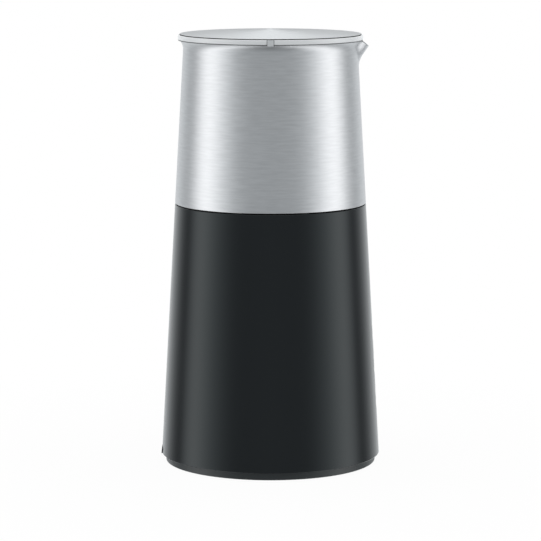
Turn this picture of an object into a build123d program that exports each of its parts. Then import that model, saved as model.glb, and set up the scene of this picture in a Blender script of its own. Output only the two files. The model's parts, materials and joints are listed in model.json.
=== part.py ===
from build123d import *
import math
import os

# Automatic milk frother: a steel jug with a clear lid stands in the top of a tapered base.
# The base heats the jug by induction and turns the whisk in it through a magnetic drive.
# Frame: +Z up, origin on the table under the middle of the base, spout and controls towards +X,
# mains cord gland towards -X. All sizes are in millimetres.

# ---------------------------------------------------------------- driving dimensions
# Outer cone that the base and the jug share
floor_radius = 61.5            # radius of the cone, measured at table level
taper = 0.0562                 # radius lost for each millimetre of height

# Base, from the table upwards
foot_gap = 0.2                 # how far the rubber feet hold the skirt off the table
skirt_height = 3.85            # the band of the base plate that shows under the housing
skirt_set_in = 2.6             # the skirt's face, inside the cone at table level
skirt_width = 3.4
base_joint = 0.3               # shadow line between the skirt and the housing
housing_height = 141.1
housing_wall = 2.0
plate_lift = 4.1               # the floor of the base plate, above the foot of its skirt
plate_thickness = 2.0
spigot_height = 5.65           # the rim of the plate that stands inside the housing
spigot_clearance = 0.6
edge_round = 0.5
fit_gap = 0.2                  # between pieces that are pushed or bonded together

# Seat of the jug in the base
recess_inset = 5.1             # the recess, inside the housing's outer face at its top
recess_depth = 23.3
deck_wall = 1.6
deck_floor = 2.0
flange_thickness = 2.0
flange_clearance = 0.25
gasket_thickness = 0.8
ledge_thickness = 2.0
ledge_clearance = 0.3
lug_height = 1.0
lug_width = 8.0
lug_reach = 0.7
lug_count = 4
key_width = 4.4                # rib that keeps the spout over the controls
key_height = 8.0
key_depth = 1.1
key_clearance = 0.4
jug_clearance = 0.4            # round the jug's foot, on the radius

# Jug
seam_gap = 0.6                 # shadow line between the housing and the steel shell
steel = 0.8                    # sheet thickness of the shell and the vessel
shell_height = 85.45           # from the seam to the neck
flare_radius = 6.4
flare_angle = 54.0
spout_radius = 10.5
spout_tilt = 34.5              # degrees that the spout's nose leans out from the vertical
spout_height = 6.4             # height of the neck above the point where the spout leaves the wall
lip_back = 1.2                 # where the lip starts, inside the edge of the rim
lip_slope = 35.0               # degrees that the spout's lip falls towards its nose
vessel_corner = 6.0
vessel_shoulder = 6.0          # height over which the vessel widens to meet the shell
vessel_lip = 1.6
weld_drop = 1.2                # the vessel's edge, below the foot of the spout
weld_clearance = 0.08
ring_wall = 1.6
ring_reach = 6.7               # how far the jug's foot reaches in under the vessel
ring_flange = 2.5
ring_floor = 1.5
bond_gap = 0.1
heat_plate_margin = 0.5        # the heat plate, past the edge of the winding
heat_plate_thickness = 1.2

# Lid
lid_seat = 0.05
lid_rim_height = 3.2
lid_rim_width = 2.6
lid_overhang = 0.55            # the lid's rim stands this far outside the jug's rim
lid_dish = 0.3                 # depth of the shallow dish in the top of the lid
lid_plate = 2.0                # thickness of the lid's disc
lid_round = 0.8
lid_skirt_gap = 1.0            # between the lid's skirt and the inside of the neck
lid_skirt_wall = 1.8
lid_skirt_height = 9.0
tab_width = 3.5
tab_thickness = 0.5
tab_drop = 0.55
tab_clearance = 0.15
seal_height = 2.4
seal_groove = 0.9
seal_proud = 0.6
seal_bevel = 0.6
seal_rise = 2.6                # the seal's lower edge, above the foot of the lid's skirt

# Whisk and its spindle
spindle_radius = 1.55
spindle_height = 12.5
spindle_foot_radius = 4.0
spindle_foot = 0.8
running = 0.05                 # radial clearance of a piece that turns or slides
end_play = 0.1
bush_wall = 1.0
bush_cap = 1.2
whisk_lift = 1.4               # the whisk runs this far above the floor of the jug
whisk_cap_thickness = 0.8
whisk_disc_radius = 12.4
whisk_disc_height = 5.8
whisk_neck_radius = 4.6
whisk_knob_radius = 6.0
whisk_knob_height = 3.0
coil_tube = 2.6                # radius of the turns of the sprung ring
coil_gap = 0.3                 # between the sprung ring and the disc
coil_seat = 0.05
whisk_magnet_radius = 2.5
whisk_magnet_height = 3.4
whisk_magnet_circle = 8.4
magnet_count = 4

# Induction winding under the deck
winding_gap = 0.5              # below the deck
winding_height = 4.5
winding_inner = 22.0
winding_margin = 2.4           # between the winding and the pillars
winding_turns = 6
carrier_thickness = 2.5
carrier_inner = 15.3
carrier_rim = 3.0              # the carrier's edge, past the winding
ferrite_height = 3.5
ferrite_width = 6.0
ferrite_count = 6

# Pillars that carry the winding and the motor
pillar_inset = 5.8             # the pillars' centres, inside the edge of the cup
pillar_radius = 3.6
pillar_count = 4
pillar_start = 45.0            # degrees from the spout to the first pillar
bridge_drop = 13.4             # from the winding's carrier to the underside of the motor bridge
bridge_thickness = 2.5
bridge_hub_radius = 17.0
bridge_arm_width = 9.0

# Temperature sensor, pressed up against the jug's heat plate
sensor_radius = 2.4
sensor_clearance = 0.3         # in the hole of the deck
sensor_distance = 18.5         # from the axis
sensor_contact = 0.05
sensor_flange_radius = 3.0
sensor_flange = 1.3
sensor_travel = 1.0
sensor_length = 10.5
sensor_cup_wall = 0.7
spring_room = 7.0              # under the sensor when it is pressed down, with the cup's floor
spring_radius = 1.8
spring_wire = 0.2
spring_turns = 6

# Motor and magnetic drive
motor_radius = 12.2
motor_length = 31.0
motor_wall = 1.0
motor_boss_radius = 5.0
motor_boss = 1.8
motor_screw_circle = 8.6
shaft_radius = 1.5
shaft_clearance = 0.02
shaft_tail = 1.5
bearing_radius = 3.0
bearing_length = 3.0
end_cap = 3.5
armature_radius = 7.6
armature_length = 18.0
armature_teeth = 5
armature_slot = 2.0
stator_thickness = 2.2
rotor_radius = 14.3
rotor_height = 7.6
rotor_gap = 1.3                # below the deck
rotor_hub_radius = 5.0
rotor_hub_height = 5.0
drive_magnet_radius = 3.6
drive_magnet_height = 6.0
drive_magnet_circle = 9.0

# Controls at the front
button_count = 3
button_radius = 6.4
button_gap = 0.3
button_pitch = 19.0
first_button = 36.0            # height of the lowest button
button_set_back = 0.15         # the button's face, behind the face of the housing
button_flange_reach = 1.4
button_flange = 1.4
button_flange_gap = 0.3
button_stem_radius = 2.0
button_travel = 0.8
stem_entry = 0.4               # how far a button's stem stands in its switch
pipe_radius = 1.1
pipe_clearance = 0.1
board_stand = 6.65             # the control board's face, behind the housing's wall at the board's top
board_thickness = 1.6
board_width = 22.0
board_margin = 16.0            # board below the lowest button
board_head = 10.0              # board above the highest light pipe
board_post_radius = 3.0
board_post_inset = 4.0
switch_side = 7.0
switch_height = 3.2
stem_reserve = 0.8             # below a stem that is pressed all the way in
switch_clearance = 0.3
led_side = 2.4
led_height = 1.6

# Power board and what stands on it
power_board_margin = 3.0       # between the power board and the control board
power_board_hole = 17.0
power_board_lift = 22.4        # underside of the board, above the table
standoff_inset = 5.0           # the stand-offs' centres, inside the board's edge
standoff_radius = 3.0
standoff_count = 4
sink_length = 30.0
sink_depth = 14.0
sink_height = 28.0
sink_inset = 9.0               # the middle of the heat sink, inside the circle of the stand-offs
sink_base = 3.0
sink_fin = 1.2
sink_fins = 6
can_radius = 6.0
can_height = 20.0
can_offset = (-12.0, 11.0)     # along X from the middle, and along Y from the stand-off behind it
film_size = (18.0, 9.0, 14.0)
film_offset = (12.0, 10.0)
core_size = (13.0, 15.0, 13.0)
core_offset = (10.0, 7.0)      # along X from the stand-off beside it, and along Y from the middle
core_winding = 5.0

# Cooling fan over the slots in the base plate
fan_side = 40.0
fan_height = 10.0
fan_corner = 3.0
fan_edge = 1.4                 # the fan's frame where it is thinnest
fan_stand = 1.5
fan_screw_inset = 4.0
fan_floor = 1.2
fan_arms = 4
fan_arm = 2.4
fan_hub_radius = 9.0
fan_hub_gap = 0.5
fan_hub_wall = 1.2
fan_axle_radius = 1.2
fan_blades = 7
fan_tip_gap = 0.8              # between the blades and the bore
fan_blade_chord = 8.0
fan_blade_thickness = 0.9
fan_blade_pitch = 38.0
vent_inset = 0.6               # the inlet's edge, inside the fan's bore
vent_slot_width = 2.6
vent_pitch = 5.2
outlet_inset = 16.0            # the middle of the outlet, inside the circle of the feet
outlet_length = 10.0
outlet_count = 16

# Feet, screws and the cord gland
foot_radius = 6.0
foot_inset = 12.9              # the feet's centres, inside the skirt's face
foot_count = 4
foot_recess = 0.8
foot_ring = 1.2
screw_radius = 1.45
screw_head_radius = 2.8
screw_head = 2.0
base_screw_length = 14.0
small_screw_radius = 1.1
small_head_radius = 2.1
small_head = 1.4
small_screw_length = 6.0
head_flat = 0.8                # flat part of a screw's head, as a share of the head's radius
cross_span = 1.2               # length of the cross in the head, as a share of the same
thread_clearance = 0.05
screw_end_gap = 0.4
boss_inset = 8.4               # the bosses' centres, inside the skirt's face
boss_radius = 3.8
boss_height = 18.0
boss_count = 4
gland_width = 12.6
gland_height = 4.6
gland_centre = 6.2             # height of the cord's centre above the table
gland_proud = 0.25             # how far the gland's lower edge stands out of the housing
gland_flange = 1.0
gland_end_gap = 0.5
cord_width = 5.6
cord_height = 3.2
clamp_inset = 10.4             # the middle of the clamp, inside the skirt's face
clamp_length = 18.0
clamp_depth = 6.0
clamp_height = 2.6
clamp_post = 4.0


# ---------------------------------------------------------------- places worked out from them
def cone(height):
    """The outer radius of the shared cone at a height."""
    return floor_radius - taper * height


skirt_radius = floor_radius - skirt_set_in
skirt_top = foot_gap + skirt_height
plate_floor = foot_gap + plate_lift                     # underside of the base plate's floor
plate_top = plate_floor + plate_thickness
spigot_top = skirt_top + spigot_height
housing_bottom = skirt_top + base_joint
housing_top = housing_bottom + housing_height

recess_radius = cone(housing_top) - recess_inset
deck_top = housing_top - recess_depth                   # the face that the jug stands on
deck_bottom = deck_top - deck_floor
flange_bottom = housing_top - flange_thickness
flange_radius = cone(housing_top) - housing_wall - flange_clearance
ledge_top = flange_bottom - gasket_thickness
ledge_bottom = ledge_top - ledge_thickness
cup_radius = recess_radius + deck_wall

shell_bottom = housing_top + seam_gap
neck_height = shell_bottom + shell_height
spout_foot = neck_height - spout_height                 # height where the spout leaves the wall
weld_height = spout_foot - weld_drop                    # top edge of the vessel
ring_radius = recess_radius - jug_clearance             # the jug's foot
vessel_bottom = deck_top + ring_floor + bond_gap        # underside of the vessel
vessel_floor = vessel_bottom + steel                    # the floor that the milk lies on
heat_plate_bottom = vessel_bottom - heat_plate_thickness
ring_inner = ring_radius - ring_wall
vessel_radius = ring_inner - fit_gap
vessel_flat = vessel_radius - vessel_corner             # radius of the vessel's flat floor

wall_lean = math.atan(taper)
flare_turn = math.radians(flare_angle) - wall_lean      # from level to the end of the flare
flare_centre = (cone(neck_height) + flare_radius * math.cos(wall_lean),
                neck_height + flare_radius * math.sin(wall_lean))
rim_radius = flare_centre[0] - flare_radius * math.cos(flare_turn)
rim_height = flare_centre[1] + flare_radius * math.sin(flare_turn)

lid_bottom = rim_height + lid_seat
lid_top = lid_bottom + lid_rim_height
lid_radius = rim_radius + lid_overhang
lid_dish_floor = lid_top - lid_dish
lid_skirt_radius = cone(neck_height) - steel - lid_skirt_gap
lid_skirt_foot = lid_bottom - lid_skirt_height
seal_bottom = lid_skirt_foot + seal_rise

spindle_top = vessel_floor + spindle_height
bush_radius = spindle_radius + running + bush_wall
bush_top = spindle_top + end_play + bush_cap
whisk_bottom = vessel_floor + whisk_lift
disc_bottom = whisk_bottom + whisk_cap_thickness
disc_top = disc_bottom + whisk_disc_height
knob_top = bush_top + whisk_knob_height
coil_radius = whisk_disc_radius + coil_gap + coil_tube
coil_height = disc_bottom + coil_seat + coil_tube

pillar_circle = cup_radius - pillar_inset
winding_outer = pillar_circle - pillar_radius - winding_margin
carrier_outer = winding_outer + carrier_rim
heat_plate_radius = winding_outer + heat_plate_margin
winding_top = deck_bottom - winding_gap
winding_bottom = winding_top - winding_height
carrier_bottom = winding_bottom - carrier_thickness
bridge_bottom = carrier_bottom - bridge_drop
bridge_top = bridge_bottom + bridge_thickness
pillar_screw_length = deck_bottom - bridge_bottom - screw_end_gap
rotor_top = deck_bottom - rotor_gap
rotor_bottom = rotor_top - rotor_height
rotor_hub_bottom = rotor_bottom - rotor_hub_height
motor_bottom = bridge_bottom - motor_length
armature_bottom = motor_bottom + (motor_length - armature_length) / 2

sensor_top = heat_plate_bottom - sensor_contact
sensor_bottom = sensor_top - sensor_length
sensor_cup_depth = sensor_travel + spring_room
cup_floor = carrier_bottom - sensor_cup_depth + sensor_cup_wall

button_heights = [first_button + button_pitch * i for i in range(button_count)]
pipe_heights = [height + button_pitch / 2 for height in button_heights]
board_bottom = first_button - board_margin
board_top = pipe_heights[-1] + board_head
board_front = cone(board_top) - housing_wall - board_stand
board_back = board_front - board_thickness
board_posts = (board_bottom + board_post_inset, board_top - board_post_inset)
board_screw_reach = small_screw_length - board_thickness + screw_end_gap
switch_front = board_front + switch_height
switch_well = stem_entry + button_travel + stem_reserve

power_board_radius = board_back - power_board_margin
power_board_top = power_board_lift + board_thickness
standoff_circle = power_board_radius - standoff_inset
sink_distance = standoff_circle - sink_inset
can_place = (can_offset[0], can_offset[1] - standoff_circle)
film_place = (film_offset[0], film_offset[1] - standoff_circle)
core_place = (core_offset[0] - standoff_circle, core_offset[1])
fan_bore = fan_side / 2 - fan_edge
fan_screw_spacing = fan_side - 2 * fan_screw_inset
fan_blade_tip = fan_bore - fan_tip_gap
vent_radius = fan_bore - vent_inset
fan_bottom = plate_top + fan_stand
fan_top = fan_bottom + fan_height
fan_rotor_bottom = fan_bottom + fan_floor + fan_hub_gap
fan_rotor_top = fan_top - fan_hub_gap

foot_circle = skirt_radius - foot_inset
outlet_circle = foot_circle - outlet_inset
boss_circle = skirt_radius - boss_inset
clamp_distance = skirt_radius - clamp_inset
gland_bottom = gland_centre - gland_height / 2
gland_top = gland_centre + gland_height / 2
gland_face = cone(gland_bottom) + gland_proud
skirt_inner = skirt_radius - skirt_width
gland_seat = math.sqrt(skirt_inner ** 2 - (gland_width / 2 + gland_flange) ** 2)
gland_pocket = gland_seat - gland_flange - gland_end_gap   # the end of its pocket in the base plate
clamp_bottom = plate_top + clamp_post
clamp_top = clamp_bottom + clamp_height
clamp_spacing = clamp_length - clamp_depth


# ---------------------------------------------------------------- helpers
os.makedirs("parts", exist_ok=True)


def band(inner, outer, bottom, top):
    """Adds a rectangle to an open profile sketch, from radius to radius and height to height."""
    with Locations(((inner + outer) / 2, (bottom + top) / 2)):
        Rectangle(outer - inner, top - bottom)


def save(builder, name):
    """Labels a finished piece and writes it as its own STEP file."""
    builder.part.label = name
    export_step(builder.part, f"parts/{name}.step")


def make_screw(radius, head_radius, head, length):
    """A pan-head screw standing on its head at height 0, with a cross in the head."""
    with BuildPart() as maker:
        with BuildSketch(Plane.XZ):
            with BuildLine():
                Polyline((0, 0), (head_radius * head_flat, 0), (head_radius, head / 3), (head_radius, head),
                         (radius, head), (radius, head + length - radius), (radius / 2, head + length),
                         (0, head + length), close=True)
            make_face()
        revolve(axis=Axis.Z)
        with BuildSketch():
            Rectangle(head_radius * cross_span, radius / 2)
            Rectangle(radius / 2, head_radius * cross_span)
        extrude(amount=head / 2, mode=Mode.SUBTRACT)
    return maker.part


def cone_form(inset):
    """The whole form of the housing's cone, as much smaller all round as inset says."""
    with BuildPart() as form:
        with BuildSketch(Plane.XZ):
            with BuildLine():
                Polyline((0, housing_bottom), (cone(housing_bottom) - inset, housing_bottom),
                         (cone(housing_top) - inset, housing_top), (0, housing_top), close=True)
            make_face()
        revolve(axis=Axis.Z)
    return form.part


base_screw = make_screw(screw_radius, screw_head_radius, screw_head, base_screw_length)
pillar_screw = make_screw(screw_radius, screw_head_radius, screw_head, pillar_screw_length)
small_screw = make_screw(small_screw_radius, small_head_radius, small_head, small_screw_length)


# ---------------------------------------------------------------- base: housing
with BuildPart() as housing:
    with BuildSketch(Plane.XZ):
        with BuildLine():
            Polyline((cone(housing_bottom) - housing_wall, housing_bottom),
                     (cone(housing_bottom), housing_bottom),
                     (cone(housing_top), housing_top),
                     (cone(housing_top) - housing_wall, housing_top), close=True)
        make_face()
    revolve(axis=Axis.Z)
    outer_rims = housing.edges().filter_by(GeomType.CIRCLE).group_by(Axis.Z)
    fillet([rims.sort_by(SortBy.RADIUS)[-1] for rims in (outer_rims[0], outer_rims[-1])], edge_round)
    # ledge that the deck's flange is pressed onto
    with BuildSketch(Plane.XZ):
        band(cup_radius + ledge_clearance, cone(ledge_top) - housing_wall / 2, ledge_bottom, ledge_top)
    revolve(axis=Axis.Z)
    # screw bosses for the base plate, each on a rib
    boss_bottom = plate_top + fit_gap
    boss_top = boss_bottom + boss_height
    rib_bottom = spigot_top + fit_gap
    rib_end = cone(boss_top) - housing_wall / 2
    with BuildSketch(Plane.XY.offset(boss_bottom)):
        with PolarLocations(boss_circle, boss_count, start_angle=pillar_start):
            Circle(boss_radius)
    extrude(amount=boss_height)
    with BuildSketch(Plane.XY.offset(rib_bottom)):
        with PolarLocations((boss_circle + rib_end) / 2, boss_count, start_angle=pillar_start):
            Rectangle(rib_end - boss_circle, boss_radius)
    extrude(amount=boss_top - rib_bottom)
    with BuildSketch(Plane.XY.offset(boss_bottom)):
        with PolarLocations(boss_circle, boss_count, start_angle=pillar_start):
            Circle(screw_radius + thread_clearance)
    extrude(amount=base_screw_length, mode=Mode.SUBTRACT)
    # posts that carry the control board
    for height in board_posts:
        with BuildSketch(Plane.YZ.offset(board_front)):
            with Locations((0, height)):
                Circle(board_post_radius)
        extrude(amount=cone(height + board_post_radius) - housing_wall / 2 - board_front)
        with BuildSketch(Plane.YZ.offset(board_front)):
            with Locations((0, height)):
                Circle(small_screw_radius + thread_clearance)
        extrude(amount=board_screw_reach, mode=Mode.SUBTRACT)
    # holes for the buttons and the light pipes
    with BuildSketch(Plane.YZ.offset(board_front)):
        with Locations(*[(0, height) for height in button_heights]):
            Circle(button_radius + button_gap)
        with Locations(*[(0, height) for height in pipe_heights]):
            Circle(pipe_radius + pipe_clearance)
    extrude(amount=floor_radius - board_front, mode=Mode.SUBTRACT)
    # notch for the cord gland, open at the bottom edge
    with BuildSketch(Plane.YZ.offset(-floor_radius)):
        with Locations((0, gland_centre)):
            SlotOverall(gland_width + 2 * fit_gap, gland_height + 2 * fit_gap)
        with Locations((0, gland_centre / 2)):
            Rectangle(gland_width + 2 * fit_gap, gland_centre)
    extrude(amount=2 * housing_wall, mode=Mode.SUBTRACT)
save(housing, "housing")

# ---------------------------------------------------------------- base: deck that the jug stands in
with BuildPart() as deck:
    with BuildSketch(Plane.XZ):
        band(0, cup_radius, deck_bottom, deck_top)
        band(recess_radius, cup_radius, deck_bottom, housing_top)
        band(recess_radius, flange_radius, flange_bottom, housing_top)
    revolve(axis=Axis.Z)
    mouth = deck.edges().filter_by(GeomType.CIRCLE).group_by(Axis.Z)[-1].sort_by(SortBy.RADIUS)
    fillet([mouth[0]], edge_round)
    # key for the slot in the jug's foot
    key_root = recess_radius + deck_wall / 2
    key_face = recess_radius - key_depth
    with BuildSketch(Plane.XY.offset(deck_top)):
        with Locations((-(key_root + key_face) / 2, 0)):
            Rectangle(key_root - key_face, key_width)
    extrude(amount=key_height)
    # lugs that snap under the housing's ledge
    with BuildSketch(Plane.XY.offset(ledge_bottom - fit_gap - lug_height)):
        with PolarLocations(cup_radius, lug_count):
            Rectangle(2 * (ledge_clearance + lug_reach), lug_width)
        Circle(recess_radius, mode=Mode.SUBTRACT)
    extrude(amount=lug_height)
    # bosses for the pillar screws
    with BuildSketch(Plane.XY.offset(winding_bottom)):
        with PolarLocations(pillar_circle, pillar_count, start_angle=pillar_start):
            Circle(pillar_radius)
            Circle(screw_radius + thread_clearance, mode=Mode.SUBTRACT)
    extrude(amount=deck_bottom - winding_bottom)
    # hole for the temperature sensor
    with BuildSketch(Plane.XY.offset(deck_bottom)):
        with Locations((-sensor_distance, 0)):
            Circle(sensor_radius + sensor_clearance)
    extrude(amount=deck_floor, mode=Mode.SUBTRACT)
save(deck, "deck")

with BuildPart() as deck_gasket:
    with BuildSketch(Plane.XZ):
        band(cup_radius + ledge_clearance, flange_radius, ledge_top, flange_bottom)
    revolve(axis=Axis.Z)
save(deck_gasket, "deck_gasket")

# ---------------------------------------------------------------- base: plate, feet, cord gland
with BuildPart() as base_plate:
    spigot_radius = cone(spigot_top) - housing_wall - spigot_clearance
    with BuildSketch(Plane.XZ):
        band(skirt_inner, skirt_radius, foot_gap, skirt_top)
        band(skirt_inner, spigot_radius, foot_gap, spigot_top)
        band(0, (skirt_inner + skirt_radius) / 2, plate_floor, plate_top)
    revolve(axis=Axis.Z)
    foot_rim = base_plate.edges().filter_by(GeomType.CIRCLE).group_by(Axis.Z)[0].sort_by(SortBy.RADIUS)
    fillet([foot_rim[-1]], edge_round)
    # rings that locate the rubber feet
    with BuildSketch(Plane.XY.offset(plate_floor - foot_recess)):
        with PolarLocations(foot_circle, foot_count):
            Circle(foot_radius + foot_ring)
            Circle(foot_radius + fit_gap, mode=Mode.SUBTRACT)
    extrude(amount=foot_recess)
    # stand-offs for the power board and the fan, posts for the cord clamp
    with BuildSketch(Plane.XY.offset(plate_top)):
        with PolarLocations(standoff_circle, standoff_count):
            Circle(standoff_radius)
    extrude(amount=power_board_lift - plate_top)
    with BuildSketch(Plane.XY.offset(plate_top)):
        with GridLocations(fan_screw_spacing, fan_screw_spacing, 2, 2):
            Circle(standoff_radius)
    extrude(amount=fan_stand)
    with BuildSketch(Plane.XY.offset(plate_top)):
        with Locations((-clamp_distance, -clamp_spacing / 2), (-clamp_distance, clamp_spacing / 2)):
            Circle(clamp_depth / 2)
    extrude(amount=clamp_post)
    # screw holes
    with BuildSketch(Plane.XY.offset(power_board_lift)):
        with PolarLocations(standoff_circle, standoff_count):
            Circle(small_screw_radius + thread_clearance)
    extrude(amount=-board_screw_reach, mode=Mode.SUBTRACT)
    with BuildSketch(Plane.XY.offset(fan_bottom)):
        with GridLocations(fan_screw_spacing, fan_screw_spacing, 2, 2):
            Circle(small_screw_radius + thread_clearance)
    extrude(amount=-(fan_stand + plate_thickness), mode=Mode.SUBTRACT)
    with BuildSketch(Plane.XY.offset(clamp_bottom)):
        with Locations((-clamp_distance, -clamp_spacing / 2), (-clamp_distance, clamp_spacing / 2)):
            Circle(small_screw_radius + thread_clearance)
    extrude(amount=-clamp_post, mode=Mode.SUBTRACT)
    with BuildSketch(Plane.XY.offset(plate_floor)):
        with PolarLocations(boss_circle, boss_count, start_angle=pillar_start):
            Circle(screw_radius + fit_gap)
    extrude(amount=plate_thickness, mode=Mode.SUBTRACT)
    # air inlet: straight slots as long as a circle lets them be; outlet: a ring of slots round it
    slot_count = int(vent_radius // vent_pitch)
    with BuildSketch(Plane.XY.offset(plate_floor)):
        for index in range(-slot_count, slot_count + 1):
            reach = math.sqrt(vent_radius ** 2 - (index * vent_pitch) ** 2)
            with Locations((0, index * vent_pitch)):
                SlotOverall(2 * reach, vent_slot_width)
        with PolarLocations(outlet_circle, outlet_count, start_angle=180 / outlet_count):
            SlotOverall(outlet_length, vent_slot_width)
    extrude(amount=plate_thickness, mode=Mode.SUBTRACT)
    # notch for the cord gland in the skirt, and room for its inner flange
    with BuildSketch(Plane.YZ.offset(-skirt_radius)):
        with Locations((0, gland_centre)):
            SlotOverall(gland_width + 2 * fit_gap, gland_height + 2 * fit_gap)
        with Locations((0, (gland_centre + spigot_top) / 2)):
            Rectangle(gland_width + 2 * fit_gap, spigot_top - gland_centre)
    extrude(amount=skirt_radius - gland_seat, mode=Mode.SUBTRACT)
    with BuildSketch(Plane.XY.offset(plate_floor)):
        with Locations((-(skirt_inner + gland_pocket) / 2, 0)):
            Rectangle(skirt_inner - gland_pocket, gland_width + 2 * (gland_flange + fit_gap))
    extrude(amount=plate_thickness, mode=Mode.SUBTRACT)
save(base_plate, "base_plate")

with BuildPart() as rubber_feet:
    with BuildSketch():
        with PolarLocations(foot_circle, foot_count):
            Circle(foot_radius)
    extrude(amount=plate_floor)
    fillet(rubber_feet.edges().group_by(Axis.Z)[0], edge_round / 2)
save(rubber_feet, "rubber_feet")

with BuildPart() as base_screws:
    with PolarLocations(boss_circle, boss_count, start_angle=pillar_start):
        add(Pos(0, 0, plate_floor - screw_head) * base_screw)
save(base_screws, "base_screws")

with BuildPart() as cord_gland:
    with BuildSketch(Plane.YZ.offset(-gland_face)):
        with Locations((0, gland_centre)):
            SlotOverall(gland_width, gland_height)
    extrude(amount=gland_face - gland_pocket)
    # the outer face leans out from the housing's face at the top of the gland
    lean = Vector(gland_face - cone(gland_top), 0, gland_top - gland_bottom)
    outward = Vector(-lean.Z, 0, lean.X)
    split(bisect_by=Plane(origin=(-gland_face, 0, gland_bottom), z_dir=outward), keep=Keep.BOTTOM)
    with BuildSketch(Plane.YZ.offset(-gland_seat + bond_gap)):
        with Locations((0, gland_centre)):
            SlotOverall(gland_width + 2 * gland_flange, gland_height + 2 * gland_flange)
    extrude(amount=gland_flange)
    with BuildSketch(Plane.YZ.offset(-gland_face)):
        with Locations((0, gland_centre)):
            SlotOverall(cord_width, cord_height)
    extrude(amount=gland_face, mode=Mode.SUBTRACT)
save(cord_gland, "cord_gland")

with BuildPart() as cord_clamp:
    with BuildSketch(Plane.XY.offset(clamp_bottom)):
        with Locations((-clamp_distance, 0)):
            SlotOverall(clamp_length, clamp_depth, rotation=90)
        with Locations((-clamp_distance, -clamp_spacing / 2), (-clamp_distance, clamp_spacing / 2)):
            Circle(small_screw_radius + fit_gap, mode=Mode.SUBTRACT)
    extrude(amount=clamp_height)
save(cord_clamp, "cord_clamp")

with BuildPart() as clamp_screws:
    with Locations((-clamp_distance, -clamp_spacing / 2), (-clamp_distance, clamp_spacing / 2)):
        add(Pos(0, 0, clamp_top + small_head) * Rot(180, 0, 0) * small_screw)
save(clamp_screws, "clamp_screws")

# ---------------------------------------------------------------- base: induction winding and pillars
with BuildPart() as winding_carrier:
    with BuildSketch(Plane.XY.offset(carrier_bottom)):
        Circle(carrier_outer)
        with PolarLocations(pillar_circle, pillar_count, start_angle=pillar_start):
            Circle(pillar_radius)
        Circle(carrier_inner, mode=Mode.SUBTRACT)
        with PolarLocations(pillar_circle, pillar_count, start_angle=pillar_start):
            Circle(screw_radius + fit_gap, mode=Mode.SUBTRACT)
    extrude(amount=carrier_thickness)
    # cup that guides the sensor and holds its spring
    with BuildSketch(Plane.XY.offset(carrier_bottom)):
        with Locations((-sensor_distance, 0)):
            Circle(sensor_radius + running + sensor_cup_wall)
    extrude(amount=-sensor_cup_depth)
    with BuildSketch(Plane.XY.offset(cup_floor)):
        with Locations((-sensor_distance, 0)):
            Circle(sensor_radius + running)
    extrude(amount=winding_bottom - cup_floor, mode=Mode.SUBTRACT)
save(winding_carrier, "winding_carrier")

with BuildPart() as induction_winding:
    turn_pitch = (winding_outer - winding_inner) / winding_turns
    with BuildSketch(Plane.XZ):
        band(winding_inner, winding_outer, winding_bottom, winding_top - turn_pitch / 4)
        for turn in range(winding_turns):
            with Locations((winding_inner + turn_pitch * (turn + 0.5), winding_top - turn_pitch / 2)):
                Circle(turn_pitch / 2)
    revolve(axis=Axis.Z)
save(induction_winding, "induction_winding")

with BuildPart() as ferrite_bars:
    with BuildSketch(Plane.XY.offset(carrier_bottom - ferrite_height)):
        with PolarLocations((winding_inner + winding_outer) / 2, ferrite_count):
            Rectangle(winding_outer - winding_inner, ferrite_width)
    extrude(amount=ferrite_height)
save(ferrite_bars, "ferrite_bars")

with BuildPart() as motor_bridge:
    with BuildSketch(Plane.XY.offset(bridge_bottom)):
        Circle(bridge_hub_radius)
        with PolarLocations(pillar_circle / 2, pillar_count, start_angle=pillar_start):
            Rectangle(pillar_circle, bridge_arm_width)
        with PolarLocations(pillar_circle, pillar_count, start_angle=pillar_start):
            Circle(bridge_arm_width / 2)
        Circle(motor_boss_radius + fit_gap, mode=Mode.SUBTRACT)
        with PolarLocations(motor_screw_circle, 2):
            Circle(small_screw_radius + fit_gap, mode=Mode.SUBTRACT)
    extrude(amount=bridge_thickness)
    with BuildSketch(Plane.XY.offset(bridge_bottom)):
        with PolarLocations(pillar_circle, pillar_count, start_angle=pillar_start):
            Circle(pillar_radius)
    extrude(amount=bridge_drop)
    with BuildSketch(Plane.XY.offset(bridge_bottom)):
        with PolarLocations(pillar_circle, pillar_count, start_angle=pillar_start):
            Circle(screw_radius + fit_gap)
    extrude(amount=bridge_drop, mode=Mode.SUBTRACT)
save(motor_bridge, "motor_bridge")

with BuildPart() as pillar_screws:
    with PolarLocations(pillar_circle, pillar_count, start_angle=pillar_start):
        add(Pos(0, 0, bridge_bottom - screw_head) * pillar_screw)
save(pillar_screws, "pillar_screws")

# ---------------------------------------------------------------- base: motor
with BuildPart() as motor_can:
    with BuildSketch(Plane.XZ):
        band(0, motor_radius, bridge_bottom - motor_wall, bridge_bottom)
        band(motor_radius - motor_wall, motor_radius, motor_bottom + end_cap, bridge_bottom)
        band(0, motor_boss_radius, bridge_bottom - bearing_length, bridge_bottom + motor_boss)
    revolve(axis=Axis.Z)
    with BuildSketch(Plane.XY.offset(bridge_bottom - bearing_length)):
        Circle(bearing_radius)
    extrude(amount=bearing_length + motor_boss, mode=Mode.SUBTRACT)
    with BuildSketch(Plane.XY.offset(bridge_bottom)):
        with PolarLocations(motor_screw_circle, 2):
            Circle(small_screw_radius + thread_clearance)
    extrude(amount=-motor_wall, mode=Mode.SUBTRACT)
save(motor_can, "motor_can")

with BuildPart() as motor_end_cap:
    with BuildSketch(Plane.XZ):
        band(bearing_radius, motor_radius, motor_bottom, motor_bottom + end_cap)
    revolve(axis=Axis.Z)
    # terminals
    with BuildSketch(Plane.XY.offset(motor_bottom)):
        with PolarLocations(motor_screw_circle, 2):
            Rectangle(small_screw_radius, 2 * small_screw_radius)
    extrude(amount=-2 * bearing_length)
save(motor_end_cap, "motor_end_cap")

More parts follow.
